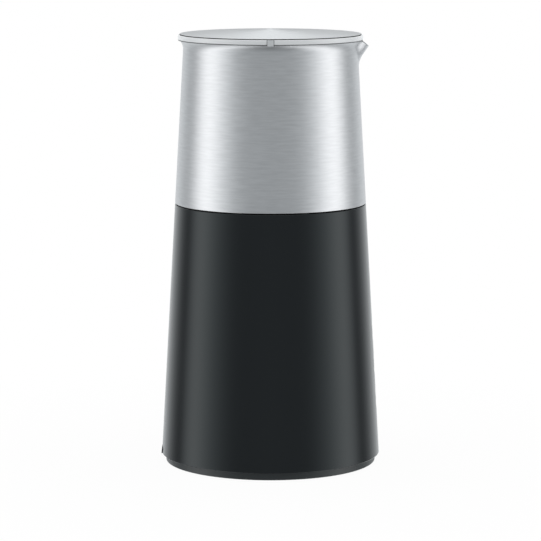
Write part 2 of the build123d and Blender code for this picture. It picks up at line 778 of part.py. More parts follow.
with BuildPart() as motor_bearings:
    with BuildSketch(Plane.XZ):
        for bottom in (motor_bottom, bridge_bottom + motor_boss - bearing_length):
            band(shaft_radius + shaft_clearance, bearing_radius, bottom, bottom + bearing_length)
    revolve(axis=Axis.Z)
save(motor_bearings, "motor_bearings")

with BuildPart() as motor_magnets:
    with BuildSketch(Plane.XY.offset(armature_bottom)):
        Circle(motor_radius - motor_wall)
        Circle(motor_radius - motor_wall - stator_thickness, mode=Mode.SUBTRACT)
        Rectangle(2 * motor_radius, stator_thickness * 2, mode=Mode.SUBTRACT)
    extrude(amount=armature_length)
save(motor_magnets, "motor_magnets")

with BuildPart() as motor_screws:
    with PolarLocations(motor_screw_circle, 2):
        add(Pos(0, 0, bridge_top + small_head) * Rot(180, 0, 0)
            * make_screw(small_screw_radius, small_head_radius, small_head, bridge_thickness + motor_wall))
save(motor_screws, "motor_screws")

# ---------------------------------------------------------------- drive: what turns with the shaft
with BuildPart() as motor_shaft:
    shaft_bottom = motor_bottom - shaft_tail
    with BuildSketch(Plane.XY.offset(shaft_bottom)):
        Circle(shaft_radius)
    extrude(amount=rotor_top - drive_magnet_height - shaft_bottom)
save(motor_shaft, "motor_shaft")

with BuildPart() as armature:
    with BuildSketch(Plane.XY.offset(armature_bottom)):
        Circle(armature_radius)
        with PolarLocations(armature_radius, armature_teeth):
            Rectangle(armature_radius, armature_slot, mode=Mode.SUBTRACT)
        Circle(shaft_radius, mode=Mode.SUBTRACT)
    extrude(amount=armature_length)
save(armature, "armature")

with BuildPart() as magnet_carrier:
    with BuildSketch(Plane.XZ):
        band(0, rotor_radius, rotor_bottom, rotor_top)
        band(0, rotor_hub_radius, rotor_hub_bottom, rotor_top)
    revolve(axis=Axis.Z)
    with BuildSketch(Plane.XY.offset(rotor_top)):
        with PolarLocations(drive_magnet_circle, magnet_count):
            Circle(drive_magnet_radius)
    extrude(amount=-drive_magnet_height, mode=Mode.SUBTRACT)
    with BuildSketch(Plane.XY.offset(rotor_hub_bottom)):
        Circle(shaft_radius)
    extrude(amount=rotor_top - drive_magnet_height - rotor_hub_bottom, mode=Mode.SUBTRACT)
save(magnet_carrier, "magnet_carrier")

with BuildPart() as drive_magnets:
    with BuildSketch(Plane.XY.offset(rotor_top)):
        with PolarLocations(drive_magnet_circle, magnet_count):
            Circle(drive_magnet_radius)
    extrude(amount=-drive_magnet_height)
save(drive_magnets, "drive_magnets")

# ---------------------------------------------------------------- temperature sensor and its spring
with BuildPart() as temperature_sensor:
    with BuildSketch(Plane.XY.offset(sensor_bottom)):
        with Locations((-sensor_distance, 0)):
            Circle(sensor_radius)
    extrude(amount=sensor_length)
    with BuildSketch(Plane.XY.offset(deck_bottom - end_play - sensor_flange)):
        with Locations((-sensor_distance, 0)):
            Circle(sensor_flange_radius)
    extrude(amount=sensor_flange)
save(temperature_sensor, "temperature_sensor")

with BuildPart() as sensor_spring:
    spring_height = sensor_bottom - cup_floor - 2 * (spring_wire + bond_gap)
    spring_base = (-sensor_distance, 0, cup_floor + spring_wire + bond_gap)
    with BuildLine() as spring_line:
        Helix(pitch=spring_height / spring_turns, height=spring_height, radius=spring_radius,
              center=spring_base)
    with BuildSketch(Plane(origin=spring_line.line @ 0, z_dir=spring_line.line % 0)):
        Circle(spring_wire)
    sweep(path=spring_line.line)
save(sensor_spring, "sensor_spring")

# ---------------------------------------------------------------- controls
button_cone = cone_form(button_set_back)


def make_button(height):
    """A round button flush with the housing, with a flange behind the wall and a stem."""
    flange_edge = button_radius + button_flange_reach
    inner_wall = cone(height + flange_edge) - housing_wall
    flange_face = math.sqrt(inner_wall ** 2 - flange_edge ** 2) - button_flange_gap
    with BuildPart() as button:
        with BuildSketch(Plane.YZ.offset(flange_face - button_flange)):
            with Locations((0, height)):
                Circle(button_radius)
        extrude(amount=floor_radius - flange_face)
        with BuildSketch(Plane.YZ.offset(flange_face - button_flange)):
            with Locations((0, height)):
                Circle(flange_edge)
        extrude(amount=button_flange)
        with BuildSketch(Plane.YZ.offset(switch_front - stem_entry)):
            with Locations((0, height)):
                Circle(button_stem_radius)
        extrude(amount=flange_face - button_flange - switch_front + stem_entry)
        add(button_cone, mode=Mode.INTERSECT)
    return button


for index, height in enumerate(button_heights):
    save(make_button(height), f"button_{index + 1}")

with BuildPart() as light_pipes:
    for height in pipe_heights:
        with BuildSketch(Plane.YZ.offset(board_front + led_height + bond_gap)):
            with Locations((0, height)):
                Circle(pipe_radius)
        extrude(amount=floor_radius - board_front)
    add(cone_form(0), mode=Mode.INTERSECT)
save(light_pipes, "light_pipes")

with BuildPart() as control_board:
    with BuildSketch(Plane.YZ.offset(board_back)):
        with Locations((0, (board_bottom + board_top) / 2)):
            Rectangle(board_width, board_top - board_bottom)
        with Locations(*[(0, height) for height in board_posts]):
            Circle(small_screw_radius + fit_gap, mode=Mode.SUBTRACT)
    extrude(amount=board_thickness)
save(control_board, "control_board")

with BuildPart() as switches:
    with BuildSketch(Plane.YZ.offset(board_front)):
        with Locations(*[(0, height) for height in button_heights]):
            Rectangle(switch_side, switch_side)
    extrude(amount=switch_height)
    with BuildSketch(Plane.YZ.offset(switch_front)):
        with Locations(*[(0, height) for height in button_heights]):
            Circle(button_stem_radius + switch_clearance)
    extrude(amount=-switch_well, mode=Mode.SUBTRACT)
save(switches, "switches")

with BuildPart() as leds:
    with BuildSketch(Plane.YZ.offset(board_front)):
        with Locations(*[(0, height) for height in pipe_heights]):
            Rectangle(led_side, led_side)
    extrude(amount=led_height)
save(leds, "leds")

with BuildPart() as board_screws:
    for height in board_posts:
        add(Pos(board_back - small_head, 0, height) * Rot(0, 90, 0) * small_screw)
    with PolarLocations(standoff_circle, standoff_count):
        add(Pos(0, 0, power_board_top + small_head) * Rot(180, 0, 0) * small_screw)
save(board_screws, "board_screws")

# ---------------------------------------------------------------- power board
with BuildPart() as power_board:
    with BuildSketch(Plane.XY.offset(power_board_lift)):
        Circle(power_board_radius)
        Circle(power_board_hole, mode=Mode.SUBTRACT)
        with PolarLocations(standoff_circle, standoff_count):
            Circle(small_screw_radius + fit_gap, mode=Mode.SUBTRACT)
    extrude(amount=board_thickness)
save(power_board, "power_board")

with BuildPart() as heat_sink:
    with BuildSketch(Plane.XY.offset(power_board_top)):
        with Locations((0, sink_distance - (sink_depth - sink_base) / 2)):
            Rectangle(sink_length, sink_base)
        fin_pitch = (sink_length - sink_fin) / (sink_fins - 1)
        with Locations((0, sink_distance)):
            with GridLocations(fin_pitch, 0, sink_fins, 1):
                Rectangle(sink_fin, sink_depth)
    extrude(amount=sink_height)
save(heat_sink, "heat_sink")

with BuildPart() as capacitors:
    with BuildSketch(Plane.XY.offset(power_board_top)):
        with Locations(can_place):
            Circle(can_radius)
    extrude(amount=can_height)
    fillet(capacitors.edges().group_by(Axis.Z)[-1], edge_round)
    with BuildSketch(Plane.XY.offset(power_board_top)):
        with Locations(film_place):
            Rectangle(film_size[0], film_size[1])
    extrude(amount=film_size[2])
save(capacitors, "capacitors")

with BuildPart() as transformer:
    with BuildSketch(Plane.XY.offset(power_board_top)):
        with Locations(core_place):
            Rectangle(core_size[0], core_size[1])
    extrude(amount=core_size[2])
    with BuildSketch(Plane.XZ.offset(-(core_place[1] - core_size[1] / 2))):
        with Locations((core_place[0], power_board_top + core_size[2] / 2)):
            Circle(core_winding)
    extrude(amount=-core_size[1], mode=Mode.ADD)
save(transformer, "transformer")

# ---------------------------------------------------------------- cooling fan
with BuildPart() as fan_frame:
    with BuildSketch(Plane.XY.offset(fan_bottom)):
        RectangleRounded(fan_side, fan_side, fan_corner)
        Circle(fan_bore, mode=Mode.SUBTRACT)
        with GridLocations(fan_screw_spacing, fan_screw_spacing, 2, 2):
            Circle(small_screw_radius + fit_gap, mode=Mode.SUBTRACT)
    extrude(amount=fan_height)
    with BuildSketch(Plane.XY.offset(fan_bottom)):
        Circle(fan_hub_radius)
        with PolarLocations(fan_bore / 2, fan_arms, start_angle=pillar_start):
            Rectangle(fan_bore + fan_arm, fan_arm)
    extrude(amount=fan_floor)
    with BuildSketch(Plane.XY.offset(fan_bottom)):
        Circle(fan_axle_radius)
    extrude(amount=fan_rotor_top - fan_hub_wall - end_play - fan_bottom)
save(fan_frame, "fan_frame")

with BuildPart() as fan_rotor:
    with BuildSketch(Plane.XY.offset(fan_rotor_bottom)):
        Circle(fan_hub_radius)
    extrude(amount=fan_rotor_top - fan_rotor_bottom)
    blade_root = fan_hub_radius - fan_hub_wall
    for index in range(fan_blades):
        turn = math.radians(360 / fan_blades * index)
        outward = Vector(math.cos(turn), math.sin(turn), 0)
        root = outward * blade_root + Vector(0, 0, (fan_rotor_bottom + fan_rotor_top) / 2)
        with BuildSketch(Plane(origin=root, x_dir=(0, 0, 1), z_dir=outward)):
            Rectangle(fan_blade_chord, fan_blade_thickness, rotation=90 - fan_blade_pitch)
        extrude(amount=fan_blade_tip - blade_root)
    with BuildSketch(Plane.XY.offset(fan_rotor_bottom)):
        Circle(fan_axle_radius + running)
    extrude(amount=fan_rotor_top - fan_hub_wall - fan_rotor_bottom, mode=Mode.SUBTRACT)
save(fan_rotor, "fan_rotor")

with BuildPart() as fan_screws:
    fan_screw = make_screw(small_screw_radius, small_head_radius, small_head,
                           fan_height + fan_stand + plate_thickness - screw_end_gap)
    with GridLocations(fan_screw_spacing, fan_screw_spacing, 2, 2):
        add(Pos(0, 0, fan_top + small_head) * Rot(180, 0, 0) * fan_screw)
save(fan_screws, "fan_screws")


# ---------------------------------------------------------------- jug
def jug_form(inset):
    """The jug's outer form with its spout, or the same form a sheet's thickness inside it."""
    flare = flare_radius + inset
    turn = math.asin((rim_height - flare_centre[1]) / flare)
    arc_start = (flare_centre[0] - flare * math.cos(wall_lean),
                 flare_centre[1] - flare * math.sin(wall_lean))
    arc_middle = (flare_centre[0] - flare * math.cos(turn / 2), flare_centre[1] + flare * math.sin(turn / 2))
    arc_end = (flare_centre[0] - flare * math.cos(turn), rim_height)
    wall_foot = (cone(shell_bottom) - inset, shell_bottom)
    spout_length = 3 * (rim_height - spout_foot)        # from well inside the wall to well past the rim
    nose_lean = math.radians(spout_tilt)
    nose = Vector(cone(spout_foot), 0, spout_foot)
    rise = Vector(math.sin(nose_lean), 0, math.cos(nose_lean))
    inward = Vector(-math.cos(nose_lean), 0, math.sin(nose_lean))
    with BuildPart() as form:
        with BuildSketch(Plane.XZ):
            with BuildLine():
                Line(wall_foot, arc_start)
                ThreePointArc(arc_start, arc_middle, arc_end)
                Polyline(arc_end, (0, rim_height), (0, shell_bottom), wall_foot)
            make_face()
        revolve(axis=Axis.Z)
        with BuildSketch(Plane(origin=nose + inward * spout_radius - rise * spout_length / 2, z_dir=rise)):
            Circle(spout_radius - inset)
        extrude(amount=spout_length)
        # what stands above the rim is cut away, and so is what stands above the lip of the spout,
        # a plane that falls from just inside the rim towards the nose
        slope = math.radians(lip_slope)
        lip = Plane(origin=(rim_radius - lip_back, 0, rim_height),
                    z_dir=(math.sin(slope), 0, math.cos(slope)))
        for cut in (lip, Plane.XY.offset(rim_height)):
            with BuildSketch(cut):
                Rectangle(4 * floor_radius, 4 * floor_radius)
            extrude(amount=spout_length, mode=Mode.SUBTRACT)
    return form.part


outer_form = jug_form(0)
inner_form = jug_form(steel)
with BuildPart() as jug_shell:
    add(outer_form)
    add(inner_form, mode=Mode.SUBTRACT)
save(jug_shell, "jug_shell")


def vessel_form(inset):
    """The milk vessel as a full form, or its hollow a sheet's thickness inside it."""
    radius = vessel_radius - inset
    lip_radius = cone(weld_height) - steel - weld_clearance - inset
    shoulder_top = weld_height - vessel_lip
    with BuildPart() as form:
        with BuildSketch(Plane.XZ):
            with BuildLine():
                wall = FilletPolyline((0, vessel_bottom + inset), (radius, vessel_bottom + inset),
                                      (radius, shoulder_top - vessel_shoulder), (lip_radius, shoulder_top),
                                      (lip_radius, weld_height),
                                      radius=[vessel_corner - inset, vessel_lip, vessel_lip / 2])
                Polyline(wall @ 1, (0, weld_height), wall @ 0)
            make_face()
        revolve(axis=Axis.Z)
    return form.part


with BuildPart() as inner_vessel:
    add(vessel_form(0))
    add(vessel_form(steel), mode=Mode.SUBTRACT)
    with BuildSketch(Plane.XY.offset(vessel_bottom)):
        Circle(vessel_flat + weld_clearance)
    extrude(amount=steel, mode=Mode.SUBTRACT)
save(inner_vessel, "inner_vessel")

with BuildPart() as vessel_base:
    with BuildSketch(Plane.XY.offset(vessel_bottom)):
        Circle(vessel_flat)
    extrude(amount=steel)
save(vessel_base, "vessel_base")

slot_face = key_face - key_clearance


def key_slot(top):
    """The slot for the deck's key, as a block from the foot of the jug up to a height."""
    with BuildPart() as block:
        with BuildSketch(Plane.XY.offset(deck_top)):
            with Locations((-(slot_face + recess_radius) / 2, 0)):
                Rectangle(recess_radius - slot_face, key_width + 2 * key_clearance)
        extrude(amount=top - deck_top)
    return block.part


with BuildPart() as jug_collar:
    flange_top = shell_bottom + ring_flange
    shell_gap = steel + fit_gap
    with BuildSketch(Plane.XZ):
        band(ring_inner, ring_radius, deck_top + ring_floor + bond_gap, flange_top)
        with BuildLine():
            Polyline((ring_inner, shell_bottom), (cone(shell_bottom) - shell_gap, shell_bottom),
                     (cone(flange_top) - shell_gap, flange_top), (ring_inner, flange_top), close=True)
        make_face()
    revolve(axis=Axis.Z)
    add(key_slot(deck_top + key_height + key_clearance), mode=Mode.SUBTRACT)
save(jug_collar, "jug_collar")

with BuildPart() as jug_foot:
    with BuildSketch(Plane.XZ):
        band(ring_radius - ring_reach, ring_radius, deck_top, deck_top + ring_floor)
    revolve(axis=Axis.Z)
    fillet([jug_foot.edges().filter_by(GeomType.CIRCLE).group_by(Axis.Z)[0].sort_by(SortBy.RADIUS)[-1]],
           edge_round)
    add(key_slot(deck_top + ring_floor), mode=Mode.SUBTRACT)
save(jug_foot, "jug_foot")

with BuildPart() as heat_plate:
    with BuildSketch(Plane.XY.offset(heat_plate_bottom)):
        Circle(heat_plate_radius)
    extrude(amount=heat_plate_thickness)
    chamfer(heat_plate.edges().group_by(Axis.Z)[0], heat_plate_thickness / 3)
save(heat_plate, "heat_plate")

with BuildPart() as spindle:
    with BuildSketch(Plane.XZ):
        band(0, spindle_foot_radius, vessel_floor, vessel_floor + spindle_foot)
        band(0, spindle_radius, vessel_floor, spindle_top)
    revolve(axis=Axis.Z)
    fillet(spindle.edges().group_by(Axis.Z)[-1], spindle_radius / 2)
save(spindle, "spindle")

# ---------------------------------------------------------------- lid
with BuildPart() as lid:
    rim_inner = lid_radius - lid_rim_width
    with BuildSketch(Plane.XZ):
        band(rim_inner, lid_radius, lid_bottom, lid_top)
        band(0, rim_inner, lid_dish_floor - lid_plate, lid_dish_floor)
        band(lid_skirt_radius - lid_skirt_wall, rim_inner, lid_bottom, lid_dish_floor)
        band(lid_skirt_radius - lid_skirt_wall, lid_skirt_radius, lid_skirt_foot, lid_bottom)
    revolve(axis=Axis.Z)
    rim_edges = lid.edges().filter_by(GeomType.CIRCLE).filter_by(
        lambda edge: edge.radius > rim_inner - lid_round)
    fillet(rim_edges.group_by(Axis.Z)[-1].sort_by(SortBy.RADIUS)[-1:], lid_round)
    fillet(lid.edges().filter_by(GeomType.CIRCLE).filter_by(
        lambda edge: abs(edge.radius - lid_radius) < lid_round / 2).sort_by(Axis.Z)[:1], lid_round / 2)
    with BuildSketch(Plane.XZ):
        band(lid_skirt_radius - seal_groove, lid_skirt_radius, seal_bottom, seal_bottom + seal_height)
    revolve(axis=Axis.Z, mode=Mode.SUBTRACT)
    # tabs at the sides, to lift the lid by
    tab_inner = rim_radius + tab_clearance
    with BuildSketch(Plane.XY.offset(lid_bottom - tab_drop)):
        with PolarLocations(tab_inner + tab_thickness / 2, 2, start_angle=90):
            Rectangle(tab_thickness, tab_width)
    extrude(amount=tab_drop + lid_rim_height - lid_round / 2)
save(lid, "lid")

with BuildPart() as lid_seal:
    with BuildSketch(Plane.XZ):
        with BuildLine():
            seal_root = lid_skirt_radius - seal_groove
            seal_edge = lid_skirt_radius + seal_proud
            seal_top = seal_bottom + seal_height
            Polyline((seal_root, seal_bottom), (lid_skirt_radius, seal_bottom),
                     (seal_edge, seal_bottom + seal_height / 2), (seal_edge, seal_top - seal_bevel),
                     (lid_skirt_radius, seal_top), (seal_root, seal_top), close=True)
        make_face()
    revolve(axis=Axis.Z)
save(lid_seal, "lid_seal")

# ---------------------------------------------------------------- whisk
with BuildPart() as whisk_hub:
    with BuildSketch(Plane.XZ):
        band(0, whisk_disc_radius, disc_bottom, disc_top)
        band(0, whisk_neck_radius, disc_bottom, knob_top)
        band(0, whisk_knob_radius, bush_top, knob_top)
    revolve(axis=Axis.Z)
    rounded = whisk_hub.edges().filter_by(GeomType.CIRCLE)
    fillet(rounded.group_by(Axis.Z)[-1] + rounded.filter_by(
        lambda edge: abs(edge.radius - whisk_disc_radius) < edge_round).sort_by(Axis.Z)[-1:], edge_round * 2)
    with BuildSketch(Plane.XY.offset(disc_bottom)):
        Circle(bush_radius)
    extrude(amount=bush_top - disc_bottom, mode=Mode.SUBTRACT)
    with BuildSketch(Plane.XY.offset(disc_bottom)):
        with PolarLocations(whisk_magnet_circle, magnet_count):
            Circle(whisk_magnet_radius)
    extrude(amount=whisk_magnet_height, mode=Mode.SUBTRACT)
save(whisk_hub, "whisk_hub")

with BuildPart() as whisk_magnets:
    with BuildSketch(Plane.XY.offset(disc_bottom)):
        with PolarLocations(whisk_magnet_circle, magnet_count):
            Circle(whisk_magnet_radius)
    extrude(amount=whisk_magnet_height)
save(whisk_magnets, "whisk_magnets")

with BuildPart() as whisk_cap:
    with BuildSketch(Plane.XZ):
        band(bush_radius, coil_radius, whisk_bottom, disc_bottom)
    revolve(axis=Axis.Z)
save(whisk_cap, "whisk_cap")

with BuildPart() as whisk_bush:
    with BuildSketch(Plane.XZ):
        band(0, bush_radius, whisk_bottom, bush_top)
    revolve(axis=Axis.Z)
    with BuildSketch(Plane.XY.offset(whisk_bottom)):
        Circle(spindle_radius + running)
    extrude(amount=spindle_top + end_play - whisk_bottom, mode=Mode.SUBTRACT)
save(whisk_bush, "whisk_bush")

with BuildPart() as whisk_coil:
    with BuildSketch(Plane.XZ):
        with Locations((coil_radius, coil_height)):
            Circle(coil_tube)
    revolve(axis=Axis.Z)
save(whisk_coil, "whisk_coil")
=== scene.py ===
"""Milk frother: the finishes, the modelled pieces, the studio and the camera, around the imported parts.

Lengths are in metres in the frame of the parts: +Z up, the spout towards +X, the table at zero height.
Sizes written in millimetres are multiplied by MM where they are used.
"""

from __future__ import annotations

import json
import logging
import math
from dataclasses import dataclass, field
from enum import Enum
from typing import Callable, Iterable

import bpy
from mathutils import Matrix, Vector

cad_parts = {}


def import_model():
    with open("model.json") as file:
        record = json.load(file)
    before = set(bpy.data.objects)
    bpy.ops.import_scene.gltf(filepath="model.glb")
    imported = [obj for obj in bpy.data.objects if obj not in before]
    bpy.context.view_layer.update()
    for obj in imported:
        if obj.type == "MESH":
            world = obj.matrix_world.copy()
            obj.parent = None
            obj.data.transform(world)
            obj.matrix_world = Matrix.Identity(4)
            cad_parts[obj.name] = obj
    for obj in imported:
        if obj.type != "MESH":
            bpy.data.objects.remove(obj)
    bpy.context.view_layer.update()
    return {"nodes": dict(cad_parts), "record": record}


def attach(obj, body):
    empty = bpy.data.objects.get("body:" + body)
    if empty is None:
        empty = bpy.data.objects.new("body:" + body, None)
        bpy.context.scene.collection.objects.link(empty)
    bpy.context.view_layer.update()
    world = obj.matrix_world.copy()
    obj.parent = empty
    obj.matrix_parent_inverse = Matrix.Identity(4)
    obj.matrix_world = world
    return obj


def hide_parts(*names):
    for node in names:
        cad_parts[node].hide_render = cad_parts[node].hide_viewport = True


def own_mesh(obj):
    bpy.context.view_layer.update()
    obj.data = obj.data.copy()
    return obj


LOG = logging.getLogger("milk_frother")
MM = 0.001
MASK_SPAN = (0.35, 0.65)  # where most values of a noise lie
Colour = tuple[float, float, float]
Outline = list[tuple[float, float]]


# ---------------------------------------------------------------- shader tools
class Bench:
    """A small helper that adds and joins the nodes of one node tree."""

    def __init__(self, tree: bpy.types.NodeTree) -> None:
        """Keeps the tree that the nodes go into."""
        self.tree = tree

    def add(self, kind: str, **settings: object) -> bpy.types.Node:
        """Adds a node.

        Args:
            kind: the node's type, such as ShaderNodeTexNoise.
            settings: properties of the node, or values of its inputs with spaces as underscores.

        Returns:
            The new node.
        """
        node = self.tree.nodes.new(kind)
        for key, value in settings.items():
            name = key.replace("_", " ")
            if name in node.inputs:
                node.inputs[name].default_value = value
            else:
                setattr(node, key, value)
        return node

    def join(self, source: bpy.types.NodeSocket, target: bpy.types.NodeSocket) -> None:
        """Links one socket to another."""
        self.tree.links.new(source, target)

    def maths(self, operation: str, *values: object) -> bpy.types.NodeSocket:
        """Adds a maths node.

        Args:
            operation: the name of the operation, such as MULTIPLY.
            values: the operands, each a socket or a number.

        Returns:
            The socket with the result.
        """
        node = self.tree.nodes.new("ShaderNodeMath")
        node.operation = operation
        for place, value in enumerate(values):
            if isinstance(value, bpy.types.NodeSocket):
                self.join(value, node.inputs[place])
            else:
                node.inputs[place].default_value = value
        return node.outputs[0]

    def spread(self, value: bpy.types.NodeSocket, low: object, high: object,
               start: float = 0.0, end: float = 1.0) -> bpy.types.NodeSocket:
        """Maps a value from the span start to end onto the span low to high.

        Args:
            value: the socket to map.
            low: what start becomes, a socket or a number.
            high: what end becomes, a socket or a number.
            start: the lower end of the value's own span.
            end: the upper end of the value's own span.

        Returns:
            The socket with the result.
        """
        node = self.add("ShaderNodeMapRange", From_Min=start, From_Max=end)
        self.join(value, node.inputs["Value"])
        for label, limit in (("To Min", low), ("To Max", high)):
            if isinstance(limit, bpy.types.NodeSocket):
                self.join(limit, node.inputs[label])
            else:
                node.inputs[label].default_value = limit
        return node.outputs["Result"]


def new_group(name: str, inputs: dict[str, float],
              outputs: list[str]) -> tuple[Bench, bpy.types.Node, bpy.types.Node]:
    """Starts a shader node group with number sockets.

    Args:
        name: the name of the group.
        inputs: each input's name and the value it starts with.
        outputs: the names of the outputs.

    Returns:
        The bench of the group's tree, its input node and its output node.
    """
    tree = bpy.data.node_groups.new(name, "ShaderNodeTree")
    for label, value in inputs.items():
        socket = tree.interface.new_socket(label, in_out="INPUT", socket_type="NodeSocketFloat")
        socket.default_value = value
    for label in outputs:
        tree.interface.new_socket(label, in_out="OUTPUT", socket_type="NodeSocketFloat")
    bench = Bench(tree)
    return bench, bench.add("NodeGroupInput"), bench.add("NodeGroupOutput")


def grain_group() -> bpy.types.NodeTree:
    """The fine grain of a moulded or cast surface: a height that varies between 0 and 1."""
    bench, given, result = new_group("fine_grain", {"Scale": 3000.0}, ["Height"])
    place = bench.add("ShaderNodeTexCoord")
    noise = bench.add("ShaderNodeTexNoise", Detail=2.0, Roughness=0.55)
    bench.join(place.outputs["Object"], noise.inputs["Vector"])
    bench.join(given.outputs["Scale"], noise.inputs["Scale"])
    bench.join(noise.outputs["Fac"], result.inputs["Height"])
    return bench.tree


def handling_group() -> bpy.types.NodeTree:
    """The faint unevenness of a handled surface: a value between Low and High."""
    bench, given, result = new_group("handling", {"Scale": 22.0, "Low": 0.3, "High": 0.36}, ["Value"])
    place = bench.add("ShaderNodeTexCoord")
    noise = bench.add("ShaderNodeTexNoise", Detail=4.0, Roughness=0.6, Distortion=0.4)
    bench.join(place.outputs["Object"], noise.inputs["Vector"])
    bench.join(given.outputs["Scale"], noise.inputs["Scale"])
    value = bench.spread(noise.outputs["Fac"], given.outputs["Low"], given.outputs["High"], 0.3, 0.7)
    bench.join(value, result.inputs["Value"])
    return bench.tree


def brushing_group() -> bpy.types.NodeTree:
    """Fine lines that run round the upright axis: a height, and coarser streaks as a tone."""
    bench, given, result = new_group("brushing", {"Lines": 5200.0, "Streaks": 900.0, "Turn": 5.0},
                                     ["Height", "Tone"])
    place = bench.add("ShaderNodeTexCoord")
    split = bench.add("ShaderNodeSeparateXYZ")
    bench.join(place.outputs["Object"], split.inputs[0])
    across, along, up = split.outputs
    turn = bench.maths("ARCTAN2", along, across)
    for label, lines, turns in (("Height", "Lines", 3.0), ("Tone", "Streaks", 1.0)):
        merge = bench.add("ShaderNodeCombineXYZ")
        around = bench.maths("MULTIPLY", turn, given.outputs["Turn"])
        bench.join(bench.maths("MULTIPLY", around, turns), merge.inputs[0])
        bench.join(bench.maths("MULTIPLY", up, given.outputs[lines]), merge.inputs[1])
        noise = bench.add("ShaderNodeTexNoise", Scale=1.0, Detail=3.0, Roughness=0.6)
        bench.join(merge.outputs[0], noise.inputs["Vector"])
        bench.join(noise.outputs["Fac"], result.inputs[label])
    return bench.tree


class Effects:
    """The node groups that several finishes share, each built once."""

    makers: dict[str, Callable[[], bpy.types.NodeTree]] = {
        "grain": grain_group,
        "handling": handling_group,
        "brushing": brushing_group,
    }
    built: dict[str, bpy.types.NodeTree] = {}

    @classmethod
    def place(cls, bench: Bench, effect: str, **values: float) -> bpy.types.Node:
        """Adds an effect to a material.

        Args:
            bench: the material's bench.
            effect: the key of the effect.
            values: the values of the group's inputs.

        Returns:
            The group's node in the material.
        """
        if effect not in cls.built:
            cls.built[effect] = cls.makers[effect]()
        node = bench.add("ShaderNodeGroup")
        node.node_tree = cls.built[effect]
        for key, value in values.items():
            node.inputs[key].default_value = value
        return node


def new_material(name: str, **settings: object) -> tuple[bpy.types.Material, Bench, bpy.types.Node]:
    """Starts a material with one Principled shader.

    Args:
        name: the name of the material.
        settings: values of the shader's inputs, with spaces as underscores.

    Returns:
        The material, the bench of its tree and its shader.
    """
    material = bpy.data.materials.new(name)
    material.use_nodes = True
    tree = material.node_tree
    tree.nodes.clear()
    bench = Bench(tree)
    shader = bench.add("ShaderNodeBsdfPrincipled", **settings)
    end = bench.add("ShaderNodeOutputMaterial")
    bench.join(shader.outputs[0], end.inputs["Surface"])
    return material, bench, shader


def roughen(bench: Bench, shader: bpy.types.Node, height: bpy.types.NodeSocket, depth: float) -> None:
    """Turns a height into the shader's normal.

    Args:
        bench: the material's bench.
        shader: the shader that gets the normal.
        height: the height, from 0 to 1.
        depth: how deep the relief is.
    """
    bump = bench.add("ShaderNodeBump", Strength=1.0, Distance=depth)
    bench.join(height, bump.inputs["Height"])
    bench.join(bump.outputs["Normal"], shader.inputs["Normal"])


def tint(bench: Bench, shader: bpy.types.Node, mask: bpy.types.NodeSocket, dark: Colour,
         light: Colour) -> None:
    """Gives the shader a base colour between two, by a mask.

    Args:
        bench: the material's bench.
        shader: the shader that gets the colour.
        mask: a value, most of it within MASK_SPAN.
        dark: the colour where the mask is low.
        light: the colour where the mask is high.
    """
    ramp = bench.add("ShaderNodeValToRGB")
    for element, position, colour in zip(ramp.color_ramp.elements, MASK_SPAN, (dark, light)):
        element.position = position
        element.color = (*colour, 1.0)
    bench.join(mask, ramp.inputs[0])
    bench.join(ramp.outputs[0], shader.inputs["Base Color"])


# ---------------------------------------------------------------- finishes
@dataclass(frozen=True)
class Moulded:
    """A moulded plastic or rubber surface with a fine grain."""

    colour: Colour
    roughness: float = 0.4
    spread: float = 0.05
    grain: float = 3000.0
    depth: float = 4e-6
    specular: float = 0.5
    gloss_tint: Colour = (1.0, 1.0, 1.0)
    shade: float = 0.9

    def paint(self, name: str) -> bpy.types.Material:
        """Builds the material under a name."""
        material, bench, shader = new_material(name, Specular_IOR_Level=self.specular,
                                               Specular_Tint=(*self.gloss_tint, 1.0))
        grain = Effects.place(bench, "grain", Scale=self.grain)
        darker = tuple(value * self.shade for value in self.colour)
        tint(bench, shader, grain.outputs["Height"], darker, self.colour)
        handling = Effects.place(bench, "handling", Low=self.roughness, High=self.roughness + self.spread)
        bench.join(handling.outputs["Value"], shader.inputs["Roughness"])
        roughen(bench, shader, grain.outputs["Height"], self.depth)
        return material


@dataclass(frozen=True)
class Brushed:
    """Sheet metal with fine brushing round the upright axis."""

    colour: Colour
    shade: float = 0.9
    roughness: float = 0.27
    spread: float = 0.08
    lines: float = 5200.0
    depth: float = 2e-6

    def paint(self, name: str) -> bpy.types.Material:
        """Builds the material under a name."""
        material, bench, shader = new_material(name, Metallic=1.0)
        brushing = Effects.place(bench, "brushing", Lines=self.lines)
        darker = tuple(value * self.shade for value in self.colour)
        tint(bench, shader, brushing.outputs["Tone"], darker, self.colour)
        rough = bench.spread(brushing.outputs["Tone"], self.roughness, self.roughness + self.spread)
        bench.join(rough, shader.inputs["Roughness"])
        roughen(bench, shader, brushing.outputs["Height"], self.depth)
        return material


@dataclass(frozen=True)
class Metal:
    """A plain plated, cast or turned metal."""

    colour: Colour
    roughness: float = 0.25
    spread: float = 0.12
    grain: float = 900.0
    depth: float = 3e-6
    shade: float = 0.92
    patches: float = 140.0

    def paint(self, name: str) -> bpy.types.Material:
        """Builds the material under a name."""
        material, bench, shader = new_material(name, Metallic=1.0)
        grain = Effects.place(bench, "grain", Scale=self.grain)
        darker = tuple(value * self.shade for value in self.colour)
        tint(bench, shader, grain.outputs["Height"], darker, self.colour)
        handling = Effects.place(bench, "handling", Scale=self.patches, Low=self.roughness,
                                 High=self.roughness + self.spread)
        bench.join(handling.outputs["Value"], shader.inputs["Roughness"])
        roughen(bench, shader, grain.outputs["Height"], self.depth)
        return material


